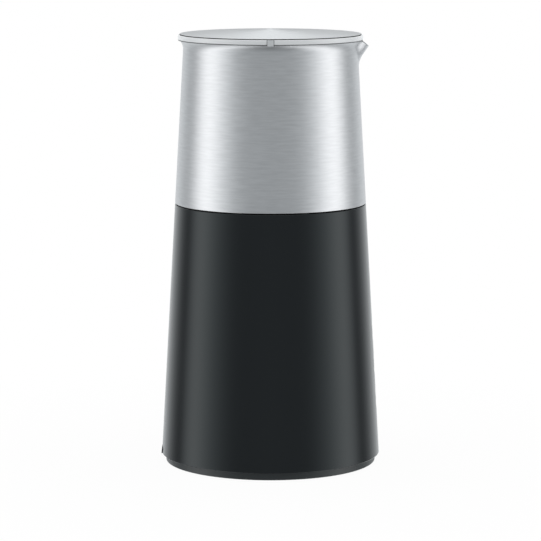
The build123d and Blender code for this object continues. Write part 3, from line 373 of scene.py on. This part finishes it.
@dataclass(frozen=True)
class Clear:
    """A clear or translucent plastic."""

    colour: Colour
    roughness: float = 0.05
    spread: float = 0.04
    clearness: float = 1.0
    flow: float = 0.0
    gate: float = 0.05  # how far behind the axis the melt came in, in metres
    refraction: float = 1.49
    patches: float = 30.0

    def paint(self, name: str) -> bpy.types.Material:
        """Builds the material under a name; flow lines fan out from the gate and stretch its sheen."""
        material, bench, shader = new_material(name, Base_Color=(*self.colour, 1.0), IOR=self.refraction,
                                               Transmission_Weight=self.clearness, Anisotropic=self.flow)
        if self.flow > 0.0:
            place = bench.add("ShaderNodeTexCoord")
            reach = bench.add("ShaderNodeVectorMath", operation="SUBTRACT")
            across = bench.add("ShaderNodeVectorMath", operation="CROSS_PRODUCT")
            bench.join(place.outputs["Object"], reach.inputs[0])
            reach.inputs[1].default_value = (0.0, self.gate, 0.0)
            across.inputs[0].default_value = (0.0, 0.0, 1.0)
            bench.join(reach.outputs[0], across.inputs[1])
            bench.join(across.outputs[0], shader.inputs["Tangent"])
        handling = Effects.place(bench, "handling", Scale=self.patches, Low=self.roughness,
                                 High=self.roughness + self.spread)
        bench.join(handling.outputs["Value"], shader.inputs["Roughness"])
        return material


FINISHES = {
    "black_plastic": Moulded((0.0032, 0.003, 0.0043), 0.17, 0.03, 5200.0, 6e-7, 0.415, (0.87, 0.985, 1.0)),
    "dark_plastic": Moulded((0.012, 0.012, 0.013), 0.42),
    "grey_plastic": Moulded((0.024, 0.0305, 0.0325), 0.36, 0.06, 2600.0, 3e-6),
    "button_plastic": Moulded((0.006, 0.0064, 0.0075), 0.22, 0.03, 4200.0, 8e-7),
    "carrier_plastic": Moulded((0.68, 0.66, 0.6), 0.42),
    "clear_plastic": Clear((0.5, 0.53, 0.55), 0.25, 0.05, 0.2),
    "lid_plastic": Clear((0.6, 0.62, 0.635), 0.34, 0.05, 0.2, 0.95),
    "lid_band": Clear((0.84, 0.85, 0.86), 0.18, 0.05, 0.06),
    "lid_tab": Clear((0.7, 0.715, 0.73), 0.18, 0.05, 0.1),
    # lid_painted_shade: a near-black finish that paints shade, along the lid's top edge and along the sides
    # of the tabs
    "lid_painted_shade": Moulded((0.012, 0.0125, 0.013), 0.6, specular=0.15),
    # lid_painted_shadow: a dark grey finish that paints the shadow between the lid's band and the jug's rim
    "lid_painted_shadow": Moulded((0.15, 0.153, 0.156), 0.5),
    "whisk_plastic": Moulded((0.012, 0.012, 0.013), 0.3),
    "seal_rubber": Moulded((0.02, 0.02, 0.021), 0.6, 0.1),
    "seal_rubber_clear": Moulded((0.62, 0.63, 0.64), 0.45, 0.1),
    "foot_rubber": Moulded((0.05, 0.05, 0.052), 0.7, 0.1),
    "brushed_steel": Brushed((0.652, 0.659, 0.672), roughness=0.34),
    "vessel_steel": Brushed((0.62, 0.625, 0.63), roughness=0.3, lines=3000.0),
    "motor_steel": Metal((0.5, 0.5, 0.5), 0.35),
    "screw_steel": Metal((0.62, 0.62, 0.62), 0.22),
    "spring_steel": Metal((0.7, 0.7, 0.71), 0.12, 0.06),
    "sensor_metal": Metal((0.72, 0.72, 0.73), 0.3),
    "sink_aluminium": Metal((0.66, 0.67, 0.68), 0.38),
    "bearing_bronze": Metal((0.5, 0.33, 0.17), 0.4),
    "copper_winding": Metal((0.62, 0.25, 0.11), 0.3),
    "ferrite": Moulded((0.035, 0.035, 0.037), 0.55),
    "magnet_plating": Metal((0.63, 0.63, 0.64), 0.12),
    "circuit_board": Moulded((0.012, 0.09, 0.035), 0.35),
    "led_body": Moulded((0.72, 0.72, 0.66), 0.3),
    "capacitor_sleeve": Moulded((0.02, 0.025, 0.05), 0.3),
    "symbol_print": Moulded((0.62, 0.63, 0.64), 0.4, 0.05, 6000.0, 1e-6),
}


# ---------------------------------------------------------------- modelling tools
def round_off(points: Outline, radii: Iterable[float], arc_steps: int = 6) -> Outline:
    """Rounds the inner corners of an open outline.

    Args:
        points: the outline's corners.
        radii: a radius for each corner, where 0 keeps it sharp; the two ends are never rounded.
        arc_steps: the number of edges of each round.

    Returns:
        The outline with arcs in place of the corners.
    """
    result: Outline = [points[0]]
    for before, corner, after, radius in zip(points, points[1:], points[2:], list(radii)[1:]):
        if radius <= 0.0:
            result.append(corner)
            continue
        middle = Vector(corner)
        inward = (Vector(before) - middle).normalized()
        outward = (Vector(after) - middle).normalized()
        half = inward.angle(outward) / 2.0
        reach = radius / math.tan(half)
        centre = middle + (inward + outward).normalized() * radius / math.sin(half)
        start = middle + inward * reach - centre
        sweep = start.angle_signed(middle + outward * reach - centre)
        for step in range(arc_steps + 1):
            turn = -sweep * step / arc_steps
            result.append((centre.x + start.x * math.cos(turn) - start.y * math.sin(turn),
                           centre.y + start.x * math.sin(turn) + start.y * math.cos(turn)))
    result.append(points[-1])
    return result


def edit(piece: bpy.types.Object, mode: str = "EDIT") -> None:
    """Makes a piece the only selected one and enters a mode with all of its mesh selected."""
    if bpy.context.mode != "OBJECT":
        bpy.ops.object.mode_set(mode="OBJECT")
    bpy.ops.object.select_all(action="DESELECT")
    bpy.context.view_layer.objects.active = piece
    piece.select_set(True)
    bpy.ops.object.mode_set(mode=mode)
    if mode == "EDIT":
        bpy.ops.mesh.select_all(action="SELECT")


def close_up(piece: bpy.types.Object, smooth_angle: float = 35.0, reach: float = 1e-6) -> None:
    """Merges a piece's doubles, points its faces outwards and shades it smooth.

    Args:
        piece: the piece.
        smooth_angle: edges that turn by more than this stay sharp, in degrees.
        reach: how close two points are that become one.
    """
    edit(piece)
    bpy.ops.mesh.remove_doubles(threshold=reach)
    bpy.ops.mesh.normals_make_consistent(inside=False)
    edit(piece, "OBJECT")
    bpy.ops.object.shade_smooth_by_angle(angle=math.radians(smooth_angle))


def turned(name: str, outline: Outline, sweeps: Iterable[tuple[int, float]] = ((180, 360.0),),
           start: float = 0.0) -> bpy.types.Object:
    """Models a turned form: an outline is drawn edge by edge and spun round the upright axis.

    Args:
        name: the piece's name.
        outline: radius and height of each point.
        sweeps: the number of steps and the degrees of each part of the turn, one after the other.
        start: where the turn starts, in degrees from +X.

    Returns:
        The piece, with its mesh in place.
    """
    turn = math.radians(start)
    points = [Vector((radius * math.cos(turn), radius * math.sin(turn), height))
              for radius, height in outline]
    bpy.ops.object.select_all(action="DESELECT")
    bpy.ops.mesh.primitive_plane_add(size=MM, location=(0.0, 0.0, 0.0))
    piece = bpy.context.active_object
    piece.name = name
    edit(piece)
    bpy.ops.mesh.merge(type="CENTER")
    bpy.ops.transform.translate(value=points[0])
    for before, after in zip(points, points[1:]):
        bpy.ops.mesh.extrude_region_move(TRANSFORM_OT_translate={"value": after - before})
    bpy.ops.mesh.select_all(action="SELECT")
    for steps, degrees in sweeps:
        bpy.ops.mesh.spin(steps=steps, angle=math.radians(degrees), center=(0.0, 0.0, 0.0),
                          axis=(0.0, 0.0, 1.0))
    close_up(piece)
    return piece


def face_out(piece: bpy.types.Object) -> None:
    """Turns an open turned sheet over where its faces point at the axis."""
    mesh = piece.data
    outward = sum(face.normal.x * face.center.x + face.normal.y * face.center.y for face in mesh.polygons)
    if outward < 0.0:
        edit(piece)
        bpy.ops.mesh.flip_normals()
        edit(piece, "OBJECT")


def give(piece: bpy.types.Object, material: bpy.types.Material, body: str) -> None:
    """Paints a piece and sets it on a body.

    Args:
        piece: the piece.
        material: its material.
        body: the body that it rides on.
    """
    piece.data.materials.clear()
    piece.data.materials.append(material)
    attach(piece, body)
    LOG.info("made %s on %s", piece.name, body)


def add_modifier(piece: bpy.types.Object, kind: str, **settings: object) -> None:
    """Adds a modifier to a piece and applies it."""
    edit(piece, "OBJECT")
    modifier = piece.modifiers.new(kind.lower(), kind)
    for key, value in settings.items():
        setattr(modifier, key, value)
    bpy.ops.object.modifier_apply(modifier=modifier.name)


def smooth_max(first: float, second: float, width: float) -> float:
    """The larger of two values, with a soft passage where they are closer than a width."""
    share = max(width - abs(first - second), 0.0) / width
    return max(first, second) + share * share * width / 4.0


# ---------------------------------------------------------------- jug
@dataclass
class Jug:
    """The steel jug: its shell with the flared rim and the drawn spout. Sizes are in millimetres."""

    cone_radius: float = 61.5
    taper: float = 0.0562
    bottom: float = 146.05
    neck: float = 231.5
    sheet: float = 0.8
    flare_radius: float = 6.4
    flare_angle: float = 54.0
    spout_radius: float = 10.5
    spout_tilt: float = 34.5
    spout_height: float = 6.4
    spout_blend: float = 2.5
    lip_back: float = 1.2
    lip_slope: float = 35.0
    lip_blend: float = 0.9
    spout_sector: float = 40.0
    sector_steps: float = 2.5  # steps of the turn in each degree of the spout's sector
    sector_margin: float = 0.01
    plain_rows: int = 8
    spout_rows: int = 44
    lip_rounds: int = 30
    edge_round: float = 0.22
    rim: tuple[float, float] = field(init=False)
    flare_centre: tuple[float, float] = field(init=False)

    def __post_init__(self) -> None:
        """Works out where the flare is centred and where it ends."""
        lean = math.atan(self.taper)
        turn = math.radians(self.flare_angle) - lean
        radius = self.cone(self.neck) + self.flare_radius * math.cos(lean)
        height = self.neck + self.flare_radius * math.sin(lean)
        self.flare_centre = (radius, height)
        self.rim = (radius - self.flare_radius * math.cos(turn), height + self.flare_radius * math.sin(turn))

    def cone(self, height: float) -> float:
        """The radius of the wall below the flare at a height."""
        return self.cone_radius - self.taper * height

    def wall(self, height: float) -> float:
        """The radius of the wall at a height, the flare included."""
        if height <= self.neck:
            return self.cone(height)
        drop = min(abs(height - self.flare_centre[1]), self.flare_radius * 0.999)
        return self.flare_centre[0] - math.sqrt(self.flare_radius ** 2 - drop ** 2)

    def spout(self, turn: float, height: float) -> float:
        """How far the spout's leaning tube stands from the axis.

        Args:
            turn: the direction, in radians from +X.
            height: the height of the point.

        Returns:
            The distance, or 0 where the tube isn't met.
        """
        tilt = math.radians(self.spout_tilt)
        foot = self.neck - self.spout_height
        across = self.spout_radius / math.cos(tilt)
        middle = self.cone(foot) - across + (height - foot) * math.tan(tilt)
        square = (math.cos(turn) / across) ** 2 + (math.sin(turn) / self.spout_radius) ** 2
        half = middle * math.cos(turn) / across ** 2
        rest = half ** 2 - square * ((middle / across) ** 2 - 1.0)
        if rest <= 0.0 or math.cos(turn) <= 0.0:
            return 0.0
        return (half + math.sqrt(rest)) / square

    def surface(self, turn: float, height: float) -> float:
        """The distance from the axis of the shell's outer face, spout included."""
        return smooth_max(self.wall(height), self.spout(turn, height), self.spout_blend)

    def top(self, turn: float) -> float:
        """The height of the shell's edge in a direction, which falls along the spout's lip."""
        height = self.rim[1]
        for _ in range(self.lip_rounds):
            reach = self.surface(turn, height) * math.cos(turn) - (self.rim[0] - self.lip_back)
            lip = self.rim[1] - reach * math.tan(math.radians(self.lip_slope))
            height = -smooth_max(-self.rim[1], -lip, self.lip_blend)
        return height

    def build_shell(self) -> bpy.types.Object:
        """Spins the wall's outline, draws the spout out of it and gives the sheet its thickness.

        Returns:
            The shell.
        """
        start = self.neck - 3.0 * self.spout_height
        plain, drawn = self.plain_rows, self.spout_rows
        heights = [self.bottom + (start - self.bottom) * step / plain for step in range(plain)]
        heights += [start + (self.rim[1] - start) * step / drawn for step in range(drawn + 1)]
        outline = [(self.wall(height) * MM, height * MM) for height in heights]
        sector = self.spout_sector
        sweeps = ((round(sector * self.sector_steps), sector), (180, 360.0 - sector))
        shell = turned("steel_shell", outline, sweeps, start=-sector / 2)
        for vertex in shell.data.vertices:
            across, along, height = (value / MM for value in vertex.co)
            if height < start:
                continue
            turn = math.atan2(along, across)
            if abs(turn) < math.radians(sector / 2 - self.sector_margin):
                share = (height - start) / (self.rim[1] - start)
                height = start + (self.top(turn) - start) * share
                reach = self.surface(turn, height)
                vertex.co = Vector((reach * math.cos(turn), reach * math.sin(turn), height)) * MM
        face_out(shell)
        add_modifier(shell, "SOLIDIFY", thickness=self.sheet * MM, offset=-1.0, use_even_offset=True)
        add_modifier(shell, "BEVEL", width=self.edge_round * MM, segments=3, limit_method="ANGLE",
                     angle_limit=math.radians(50.0))
        close_up(shell, 40.0)
        return shell

    def make(self, materials: dict[str, bpy.types.Material]) -> None:
        """Builds and dresses the jug's pieces."""
        shell = self.build_shell()
        give(shell, materials["brushed_steel"], "jug")
        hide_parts("jug_shell")


# ---------------------------------------------------------------- lid
@dataclass
class Lid:
    """The lid: a clear disc with a skirt, a band, a near-black ring of painted shade under the disc's edge,
    a dark grey ring of painted shadow under the band, and two tabs with near-black outlines of painted
    shade.

    Sizes are in millimetres.
    """

    bottom: float = 236.87
    top: float = 240.07
    radius: float = 51.38
    dish: float = 0.3
    dish_width: float = 6.0
    plate: float = 2.0
    disc_radius: float = 50.4
    disc_round: float = 0.03
    dish_round: float = 40.0
    edge: float = 0.06
    # painted shade: a near-black ring under the disc's edge paints the shade line along the lid's top edge;
    # its height and how far it sits inside the disc
    painted_shade: float = 0.45
    painted_shade_depth: float = 0.05
    band_width: float = 2.6
    band_round: float = 0.7
    band_edge: float = 0.4
    band_lift: float = 0.1
    band_gap: float = 0.05
    band_inner_rounds: tuple[float, float] = (0.1, 0.3)
    # painted shadow: a dark grey ring under the band paints the shadow between the lid and the jug's rim
    painted_shadow_inner: float = 50.86
    painted_shadow_outer: float = 51.15
    painted_shadow_foot: float = 236.5
    painted_shadow_overlap: float = 0.1
    painted_shadow_round: float = 0.05
    inner_round: float = 0.05
    corner_round: float = 0.3
    foot_lift: float = 0.1
    skirt_radius: float = 46.69
    skirt_wall: float = 1.8
    skirt_foot: float = 227.87
    skirt_round: float = 0.5
    plate_round: float = 0.6
    groove_depth: float = 0.9
    groove_bottom: float = 230.47
    groove_height: float = 2.4
    groove_round: float = 0.1
    tab_width: float = 3.5
    tab_reach: float = 51.5
    tab_foot: float = 236.2
    # painted shade: near-black outlines beside the tabs paint the shade along their sides; how wide each is
    # and how far it sits behind the tab's face
    tab_line: float = 0.25
    tab_line_depth: float = 0.06
    tab_gap: float = 0.005
    tab_round: float = 0.03
    tab_cuts: int = 6

    def ring(self, name: str, inner: float, outer: float, foot: float, head: float,
             rounds: tuple[float, float, float, float]) -> bpy.types.Object:
        """Turns a closed ring.

        Args:
            name: the piece's name.
            inner: its inner radius.
            outer: its outer radius.
            foot: the height of its underside.
            head: the height of its top.
            rounds: the radii of its corners, from the inner top one outwards and down.

        Returns:
            The ring.
        """
        middle = (foot + head) / 2
        corners = [(inner, middle), (inner, head), (outer, head), (outer, foot), (inner, foot),
                   (inner, middle)]
        outline = round_off(corners, (0.0, *rounds, 0.0))
        return turned(name, [(radius * MM, height * MM) for radius, height in outline], ((240, 360.0),))

    def build_body(self) -> bpy.types.Object:
        """Turns the disc with its thin edge, and the skirt with the groove of the seal.

        Returns:
            The lid without its band and tabs.
        """
        dish = self.top - self.dish
        inner = self.radius - self.band_width
        under = self.top - self.edge
        skirt_inner = self.skirt_radius - self.skirt_wall
        groove = self.skirt_radius - self.groove_depth
        groove_top = self.groove_bottom + self.groove_height
        shoulder = self.bottom + self.foot_lift
        corners = [
            ((0.0, dish), 0.0),
            ((inner - self.dish_width, dish), self.dish_round),
            ((inner, self.top), self.dish_round),
            ((self.disc_radius, self.top), self.disc_round),
            ((self.disc_radius, under), self.disc_round),
            ((inner, under), self.inner_round),
            ((inner, shoulder), self.corner_round),
            ((self.skirt_radius, shoulder), self.corner_round),
            ((self.skirt_radius, groove_top), self.groove_round),
            ((groove, groove_top), self.groove_round),
            ((groove, self.groove_bottom), self.groove_round),
            ((self.skirt_radius, self.groove_bottom), self.groove_round),
            ((self.skirt_radius, self.skirt_foot), self.skirt_round),
            ((skirt_inner, self.skirt_foot), self.skirt_round),
            ((skirt_inner, dish - self.plate), self.plate_round),
            ((0.0, dish - self.plate), 0.0),
        ]
        outline = round_off([corner for corner, _ in corners], [radius for _, radius in corners])
        return turned("clear_lid", [(radius * MM, height * MM) for radius, height in outline],
                      ((240, 360.0),))

    def build_tab(self, side: float, name: str, width: float, reach: float) -> bpy.types.Object:
        """Models one tab as a block with rounded edges that follows the rim.

        Args:
            side: 1 for the tab at +Y and -1 for the one at -Y.
            name: the piece's name.
            width: how wide the tab is.
            reach: the radius of its outer face.

        Returns:
            The tab.
        """
        top = self.top - self.edge - self.painted_shade
        inner, outer = self.radius + self.tab_gap, reach
        middle = side * (inner + outer) / 2 * MM
        bpy.ops.object.select_all(action="DESELECT")
        bpy.ops.mesh.primitive_cube_add(size=MM, location=(0.0, 0.0, 0.0))
        tab = bpy.context.active_object
        tab.name = name
        edit(tab)
        bpy.ops.transform.resize(value=(width, outer - inner, top - self.tab_foot))
        bpy.ops.transform.translate(value=(0.0, middle, (top + self.tab_foot) / 2 * MM))
        bpy.ops.mesh.subdivide(number_cuts=self.tab_cuts)
        edit(tab, "OBJECT")
        for vertex in tab.data.vertices:
            ring = abs(vertex.co.y) - abs(middle) + (inner + outer) / 2 * MM
            vertex.co.y = side * math.sqrt(ring ** 2 - vertex.co.x ** 2)
        add_modifier(tab, "BEVEL", width=self.tab_round * MM, segments=2, limit_method="ANGLE")
        close_up(tab, 40.0)
        return tab

    def make(self, materials: dict[str, bpy.types.Material]) -> None:
        """Builds and dresses the lid's pieces."""
        body = self.build_body()
        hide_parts("lid")
        painted_shade_foot = self.top - self.edge - self.painted_shade
        inner = self.radius - self.band_width + self.band_gap
        band_foot = self.bottom + self.band_lift
        inner_top, inner_foot = self.band_inner_rounds
        # a near-black ring under the disc's edge: painted shade along the lid's top edge
        painted_shade = self.ring("lid_painted_shade", inner, self.disc_radius - self.painted_shade_depth, painted_shade_foot,
                         self.top - self.edge, (0.0, 0.0, 0.0, 0.0))
        band = self.ring("lid_band", inner, self.radius, band_foot, painted_shade_foot,
                         (inner_top, self.band_round, self.band_edge, inner_foot))
        # lip: a dark grey ring under the band, painted shadow between the lid and the jug's rim
        lip = self.ring("lid_painted_shadow", self.painted_shadow_inner, self.painted_shadow_outer, self.painted_shadow_foot,
                        band_foot + self.painted_shadow_overlap, (0.0, 0.0, self.painted_shadow_round, self.painted_shadow_round))
        give(body, materials["lid_plastic"], "lid")
        give(lip, materials["lid_painted_shadow"], "lid")
        give(painted_shade, materials["lid_painted_shade"], "lid")
        give(band, materials["lid_band"], "lid")
        # behind each tab a wider near-black copy, whose edges paint the shade along the tab's sides
        lined = self.tab_width + 2 * self.tab_line
        for side, end in ((-1.0, "front"), (1.0, "rear")):
            tab = self.build_tab(side, f"lid_tab_{end}", self.tab_width, self.tab_reach)
            line = self.build_tab(side, f"lid_tab_shade_line_{end}", lined,
                                  self.tab_reach - self.tab_line_depth)
            give(tab, materials["lid_tab"], "lid")
            give(line, materials["lid_painted_shade"], "lid")


# ---------------------------------------------------------------- whisk
@dataclass
class WhiskCoil:
    """The sprung ring round the whisk, a steel wire wound along a circle. Sizes are in millimetres."""

    circle: float = 15.3
    height: float = 129.4
    tube: float = 2.6
    wire: float = 0.42
    turns: int = 40
    steps: int = 18

    def build(self) -> bpy.types.Object:
        """Bends a round wire along the closed coil.

        Returns:
            The coil as a mesh.
        """
        path = bpy.data.curves.new("sprung_ring", "CURVE")
        path.dimensions = "3D"
        path.bevel_depth = self.wire * MM
        path.bevel_resolution = 2
        count = self.turns * self.steps
        spline = path.splines.new("POLY")
        spline.points.add(count - 1)
        spline.use_cyclic_u = True
        reach = self.tube - self.wire
        for index, point in enumerate(spline.points):
            around = 2.0 * math.pi * index / count
            roll = 2.0 * math.pi * index / self.steps
            radius = self.circle + reach * math.cos(roll)
            point.co = (radius * math.cos(around) * MM, radius * math.sin(around) * MM,
                        (self.height + reach * math.sin(roll)) * MM, 1.0)
        curve = bpy.data.objects.new("sprung_ring_path", path)
        bpy.context.scene.collection.objects.link(curve)
        mesh = bpy.data.meshes.new_from_object(curve.evaluated_get(bpy.context.evaluated_depsgraph_get()))
        bpy.data.objects.remove(curve)
        piece = bpy.data.objects.new("sprung_ring", mesh)
        bpy.context.scene.collection.objects.link(piece)
        close_up(piece, 60.0)
        return piece

    def make(self, materials: dict[str, bpy.types.Material]) -> None:
        """Builds and dresses the coil."""
        coil = self.build()
        give(coil, materials["spring_steel"], "whisk_coil")
        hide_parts("whisk_coil")


# ---------------------------------------------------------------- sensor
@dataclass
class SensorSpring:
    """The spring under the sensor, which shortens as that is pressed. Sizes are in millimetres."""

    seat: float = 105.35
    travel: float = 1.0

    def make(self, materials: dict[str, bpy.types.Material]) -> None:
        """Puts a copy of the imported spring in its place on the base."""
        packed = bpy.data.objects["sensor_spring"]
        spring = bpy.data.objects.new("sensor_coil", packed.data.copy())
        bpy.context.scene.collection.objects.link(spring)
        close_up(spring, 60.0)
        give(spring, materials["spring_steel"], "base")
        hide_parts("sensor_spring")
        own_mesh(spring)


# ---------------------------------------------------------------- buttons
class Heat(Enum):
    """How warm each button makes the milk, as the number of strokes printed on it."""

    LOW = 1
    MEDIUM = 2
    HIGH = 3


@dataclass
class ButtonPrints:
    """The wavy strokes printed on the faces of the three buttons. Sizes are in millimetres."""

    face_radius: float = 59.33
    face_slope: float = 0.0563
    first_height: float = 36.0
    pitch: float = 19.0
    stroke_length: float = 4.8
    stroke_width: float = 0.5
    spacing: float = 1.8
    wave: float = 0.4
    steps: int = 32
    thickness: float = 0.05

    def build(self, heat: Heat) -> bpy.types.Object:
        """Draws the strokes of one button and lays them on its curved face.

        Args:
            heat: which button it is.

        Returns:
            The print.
        """
        height = self.first_height + (heat.value - 1) * self.pitch
        strokes = []
        for index in range(heat.value):
            offset = (index - (heat.value - 1) / 2) * self.spacing
            bpy.ops.object.select_all(action="DESELECT")
            bpy.ops.mesh.primitive_grid_add(x_subdivisions=1, y_subdivisions=self.steps, size=MM)
            stroke = bpy.context.active_object
            edit(stroke)
            bpy.ops.transform.resize(value=(self.stroke_width, self.stroke_length, 1.0))
            bpy.ops.transform.translate(value=(offset * MM, 0.0, 0.0))
            edit(stroke, "OBJECT")
            strokes.append(stroke)
        for stroke in strokes:
            stroke.select_set(True)
        bpy.ops.object.join()
        printed = bpy.context.active_object
        printed.name = f"button_print_{heat.value}"
        for vertex in printed.data.vertices:
            across, rise = vertex.co.x, vertex.co.y
            across += self.wave * MM * math.sin(2.0 * math.pi * rise / (self.stroke_length * MM))
            level = height * MM + rise
            radius = self.face_radius * MM - (level - self.first_height * MM) * self.face_slope
            vertex.co = (math.sqrt(radius ** 2 - across ** 2), across, level)
        face_out(printed)
        add_modifier(printed, "SOLIDIFY", thickness=self.thickness * MM, offset=1.0)
        close_up(printed)
        return printed

    def make(self, materials: dict[str, bpy.types.Material]) -> None:
        """Builds and dresses the three prints."""
        for heat in Heat:
            give(self.build(heat), materials["symbol_print"], f"button_{heat.value}")


# ---------------------------------------------------------------- studio
@dataclass
class Studio:
    """The pale floor, the soft lamps, the surroundings and the camera."""

    camera_distance: float = 1.56374
    camera_height: float = 0.333606
    camera_tilt: float = 8.2295
    camera_lens: float = 187.53
    sensor: float = 36.0
    floor_radius: float = 0.3
    floor_white: float = 0.96
    floor_fade: float = 0.3
    floor_colour: Colour = (0.84, 0.84, 0.84)
    # how bright the surroundings are, by the angle from the front in degrees
    surroundings: tuple[tuple[float, float], ...] = (
        (0.0, 0.47), (29.0, 0.445), (38.0, 0.47), (45.0, 0.555), (52.0, 0.72), (59.0, 0.95), (66.0, 1.21),
        (73.0, 1.55), (81.0, 1.86), (88.0, 1.95), (94.0, 1.75), (100.0, 1.3), (106.0, 0.75), (111.0, 0.38),
        (117.0, 0.3), (123.0, 0.4), (130.0, 0.58), (138.0, 0.8), (146.0, 0.95), (155.0, 1.0), (180.0, 1.0))
    brightest: float = 2.0
    overhead: float = 0.72
    underfoot: float = 0.4
    room_tint: Colour = (0.935, 1.0, 1.035)
    overhead_span: tuple[float, float] = (0.3, 0.7)
    downward_span: tuple[float, float] = (-0.9, -0.5)
    forward_span: tuple[float, float] = (0.2, 0.9)
    lamp_power: float = 3.0
    lamp_sides: tuple[float, float] = (1.2, 1.0)
    lamp_place: tuple[float, float, float] = (0.0, 0.1, 1.2)

    def set_camera(self) -> None:
        """Stands the camera in front of the object, level with its axis and tilted down a little."""
        data = bpy.data.cameras.new("camera")
        data.lens = self.camera_lens
        data.sensor_width = self.sensor
        data.clip_start = 0.05
        data.clip_end = 50.0
        camera = bpy.data.objects.new("camera", data)
        camera.location = (0.0, -self.camera_distance, self.camera_height)
        camera.rotation_euler = (math.radians(90.0 - self.camera_tilt), 0.0, 0.0)
        bpy.context.scene.collection.objects.link(camera)
        bpy.context.scene.camera = camera

    def lay_floor(self) -> None:
        """Lays a pale round floor that the camera sees as white, with a faint shadow.

        Its edge fades into the backdrop, and glossy surfaces see past it to the surroundings.
        """
        bpy.ops.object.select_all(action="DESELECT")
        bpy.ops.mesh.primitive_circle_add(vertices=96, radius=self.floor_radius, fill_type="NGON")
        floor = bpy.context.active_object
        floor.name = "floor"
        material, bench, shader = new_material("floor_paint", Base_Color=(*self.floor_colour, 1.0),
                                               Roughness=0.9, Specular_IOR_Level=0.0)
        glow = bench.add("ShaderNodeEmission", Strength=1.0)
        path = bench.add("ShaderNodeLightPath")
        place = bench.add("ShaderNodeTexCoord")
        reach = bench.add("ShaderNodeVectorMath", operation="LENGTH")
        bench.join(place.outputs["Object"], reach.inputs[0])
        fade = bench.spread(reach.outputs["Value"], self.floor_white, 1.0,
                            self.floor_fade * self.floor_radius, self.floor_radius)
        seen = bench.maths("MULTIPLY", path.outputs["Is Camera Ray"], fade)
        mix = bench.add("ShaderNodeMixShader")
        bench.join(seen, mix.inputs[0])
        bench.join(shader.outputs[0], mix.inputs[1])
        bench.join(glow.outputs[0], mix.inputs[2])
        clear = bench.add("ShaderNodeBsdfTransparent")
        pick = bench.add("ShaderNodeMixShader")
        bench.join(path.outputs["Is Glossy Ray"], pick.inputs[0])
        bench.join(mix.outputs[0], pick.inputs[1])
        bench.join(clear.outputs[0], pick.inputs[2])
        end = next(node for node in bench.tree.nodes if node.type == "OUTPUT_MATERIAL")
        bench.join(pick.outputs[0], end.inputs["Surface"])
        floor.data.materials.append(material)

    def hang_lamp(self) -> None:
        """Hangs a wide soft lamp overhead that the camera doesn't see."""
        data = bpy.data.lights.new("overhead_lamp", "AREA")
        data.shape = "RECTANGLE"
        data.size, data.size_y = self.lamp_sides
        data.energy = self.lamp_power
        lamp = bpy.data.objects.new("overhead_lamp", data)
        lamp.location = self.lamp_place
        lamp.visible_camera = False
        bpy.context.scene.collection.objects.link(lamp)

    def surround_world(self) -> None:
        """Surrounds the object with a soft box at each side, a white backdrop and a grey front."""
        world = bpy.data.worlds.new("studio")
        bpy.context.scene.world = world
        world.use_nodes = True
        world.node_tree.nodes.clear()
        bench = Bench(world.node_tree)
        place = bench.add("ShaderNodeTexCoord")
        split = bench.add("ShaderNodeSeparateXYZ")
        bench.join(place.outputs["Generated"], split.inputs[0])
        across, along, up = split.outputs
        level = bench.maths("SQRT", bench.maths("ADD", bench.maths("MULTIPLY", across, across),
                                                bench.maths("MULTIPLY", along, along)))
        front = bench.maths("DIVIDE", bench.maths("MULTIPLY", along, -1.0),
                            bench.maths("MAXIMUM", level, 1e-4))
        angle = bench.maths("DIVIDE", bench.maths("ARCCOSINE", front), math.pi)
        ramp = bench.add("ShaderNodeValToRGB")
        elements = ramp.color_ramp.elements
        while len(elements) < len(self.surroundings):
            elements.new(0.5)
        for element, (degrees, value) in zip(elements, self.surroundings):
            element.position = degrees / 180.0
            glow = value / self.brightest
            element.color = (*(glow * (tone + (1.0 - tone) * glow) for tone in self.room_tint), 1.0)
        bench.join(angle, ramp.inputs[0])
        around = bench.add("ShaderNodeBackground")
        bench.join(ramp.outputs[0], around.inputs["Color"])
        below = bench.maths("MULTIPLY", bench.spread(up, 1.0, 0.0, *self.downward_span),
                            bench.spread(front, 0.0, 1.0, *self.forward_span))
        bench.join(bench.spread(below, self.brightest, self.brightest * self.underfoot, 0.0, 1.0),
                   around.inputs["Strength"])
        above = bench.add("ShaderNodeBackground", Color=(1.0, 1.0, 1.0, 1.0), Strength=self.overhead)
        lit = bench.add("ShaderNodeMixShader")
        bench.join(bench.spread(up, 0.0, 1.0, *self.overhead_span), lit.inputs[0])
        bench.join(around.outputs[0], lit.inputs[1])
        bench.join(above.outputs[0], lit.inputs[2])
        seen = bench.add("ShaderNodeBackground", Color=(1.0, 1.0, 1.0, 1.0), Strength=1.0)
        path = bench.add("ShaderNodeLightPath")
        mix = bench.add("ShaderNodeMixShader")
        bench.join(path.outputs["Is Camera Ray"], mix.inputs[0])
        bench.join(lit.outputs[0], mix.inputs[1])
        bench.join(seen.outputs[0], mix.inputs[2])
        end = bench.add("ShaderNodeOutputWorld")
        bench.join(mix.outputs[0], end.inputs["Surface"])

    def build(self) -> None:
        """Builds the whole studio."""
        self.set_camera()
        self.lay_floor()
        self.hang_lamp()
        self.surround_world()


# ---------------------------------------------------------------- the parts
def dress_parts(frame: dict, materials: dict[str, bpy.types.Material]) -> None:
    """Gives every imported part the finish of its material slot.

    Args:
        materials: the finishes by slot.
    """
    for part in frame["record"]["subparts"]:
        for slot in frame["nodes"][part["node"]].material_slots:
            slot.material = materials[part["material_slot"]]


def main() -> None:
    """Builds everything in order."""
    logging.basicConfig(level=logging.INFO, format="%(message)s")
    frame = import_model()
    bpy.context.scene.view_settings.view_transform = "Standard"
    Studio().build()
    materials = {slot: finish.paint(slot) for slot, finish in FINISHES.items()}
    dress_parts(frame, materials)
    for assembly in (Jug(), Lid(), WhiskCoil(), SensorSpring(), ButtonPrints()):
        assembly.make(materials)


if __name__ == "__main__":
    main()
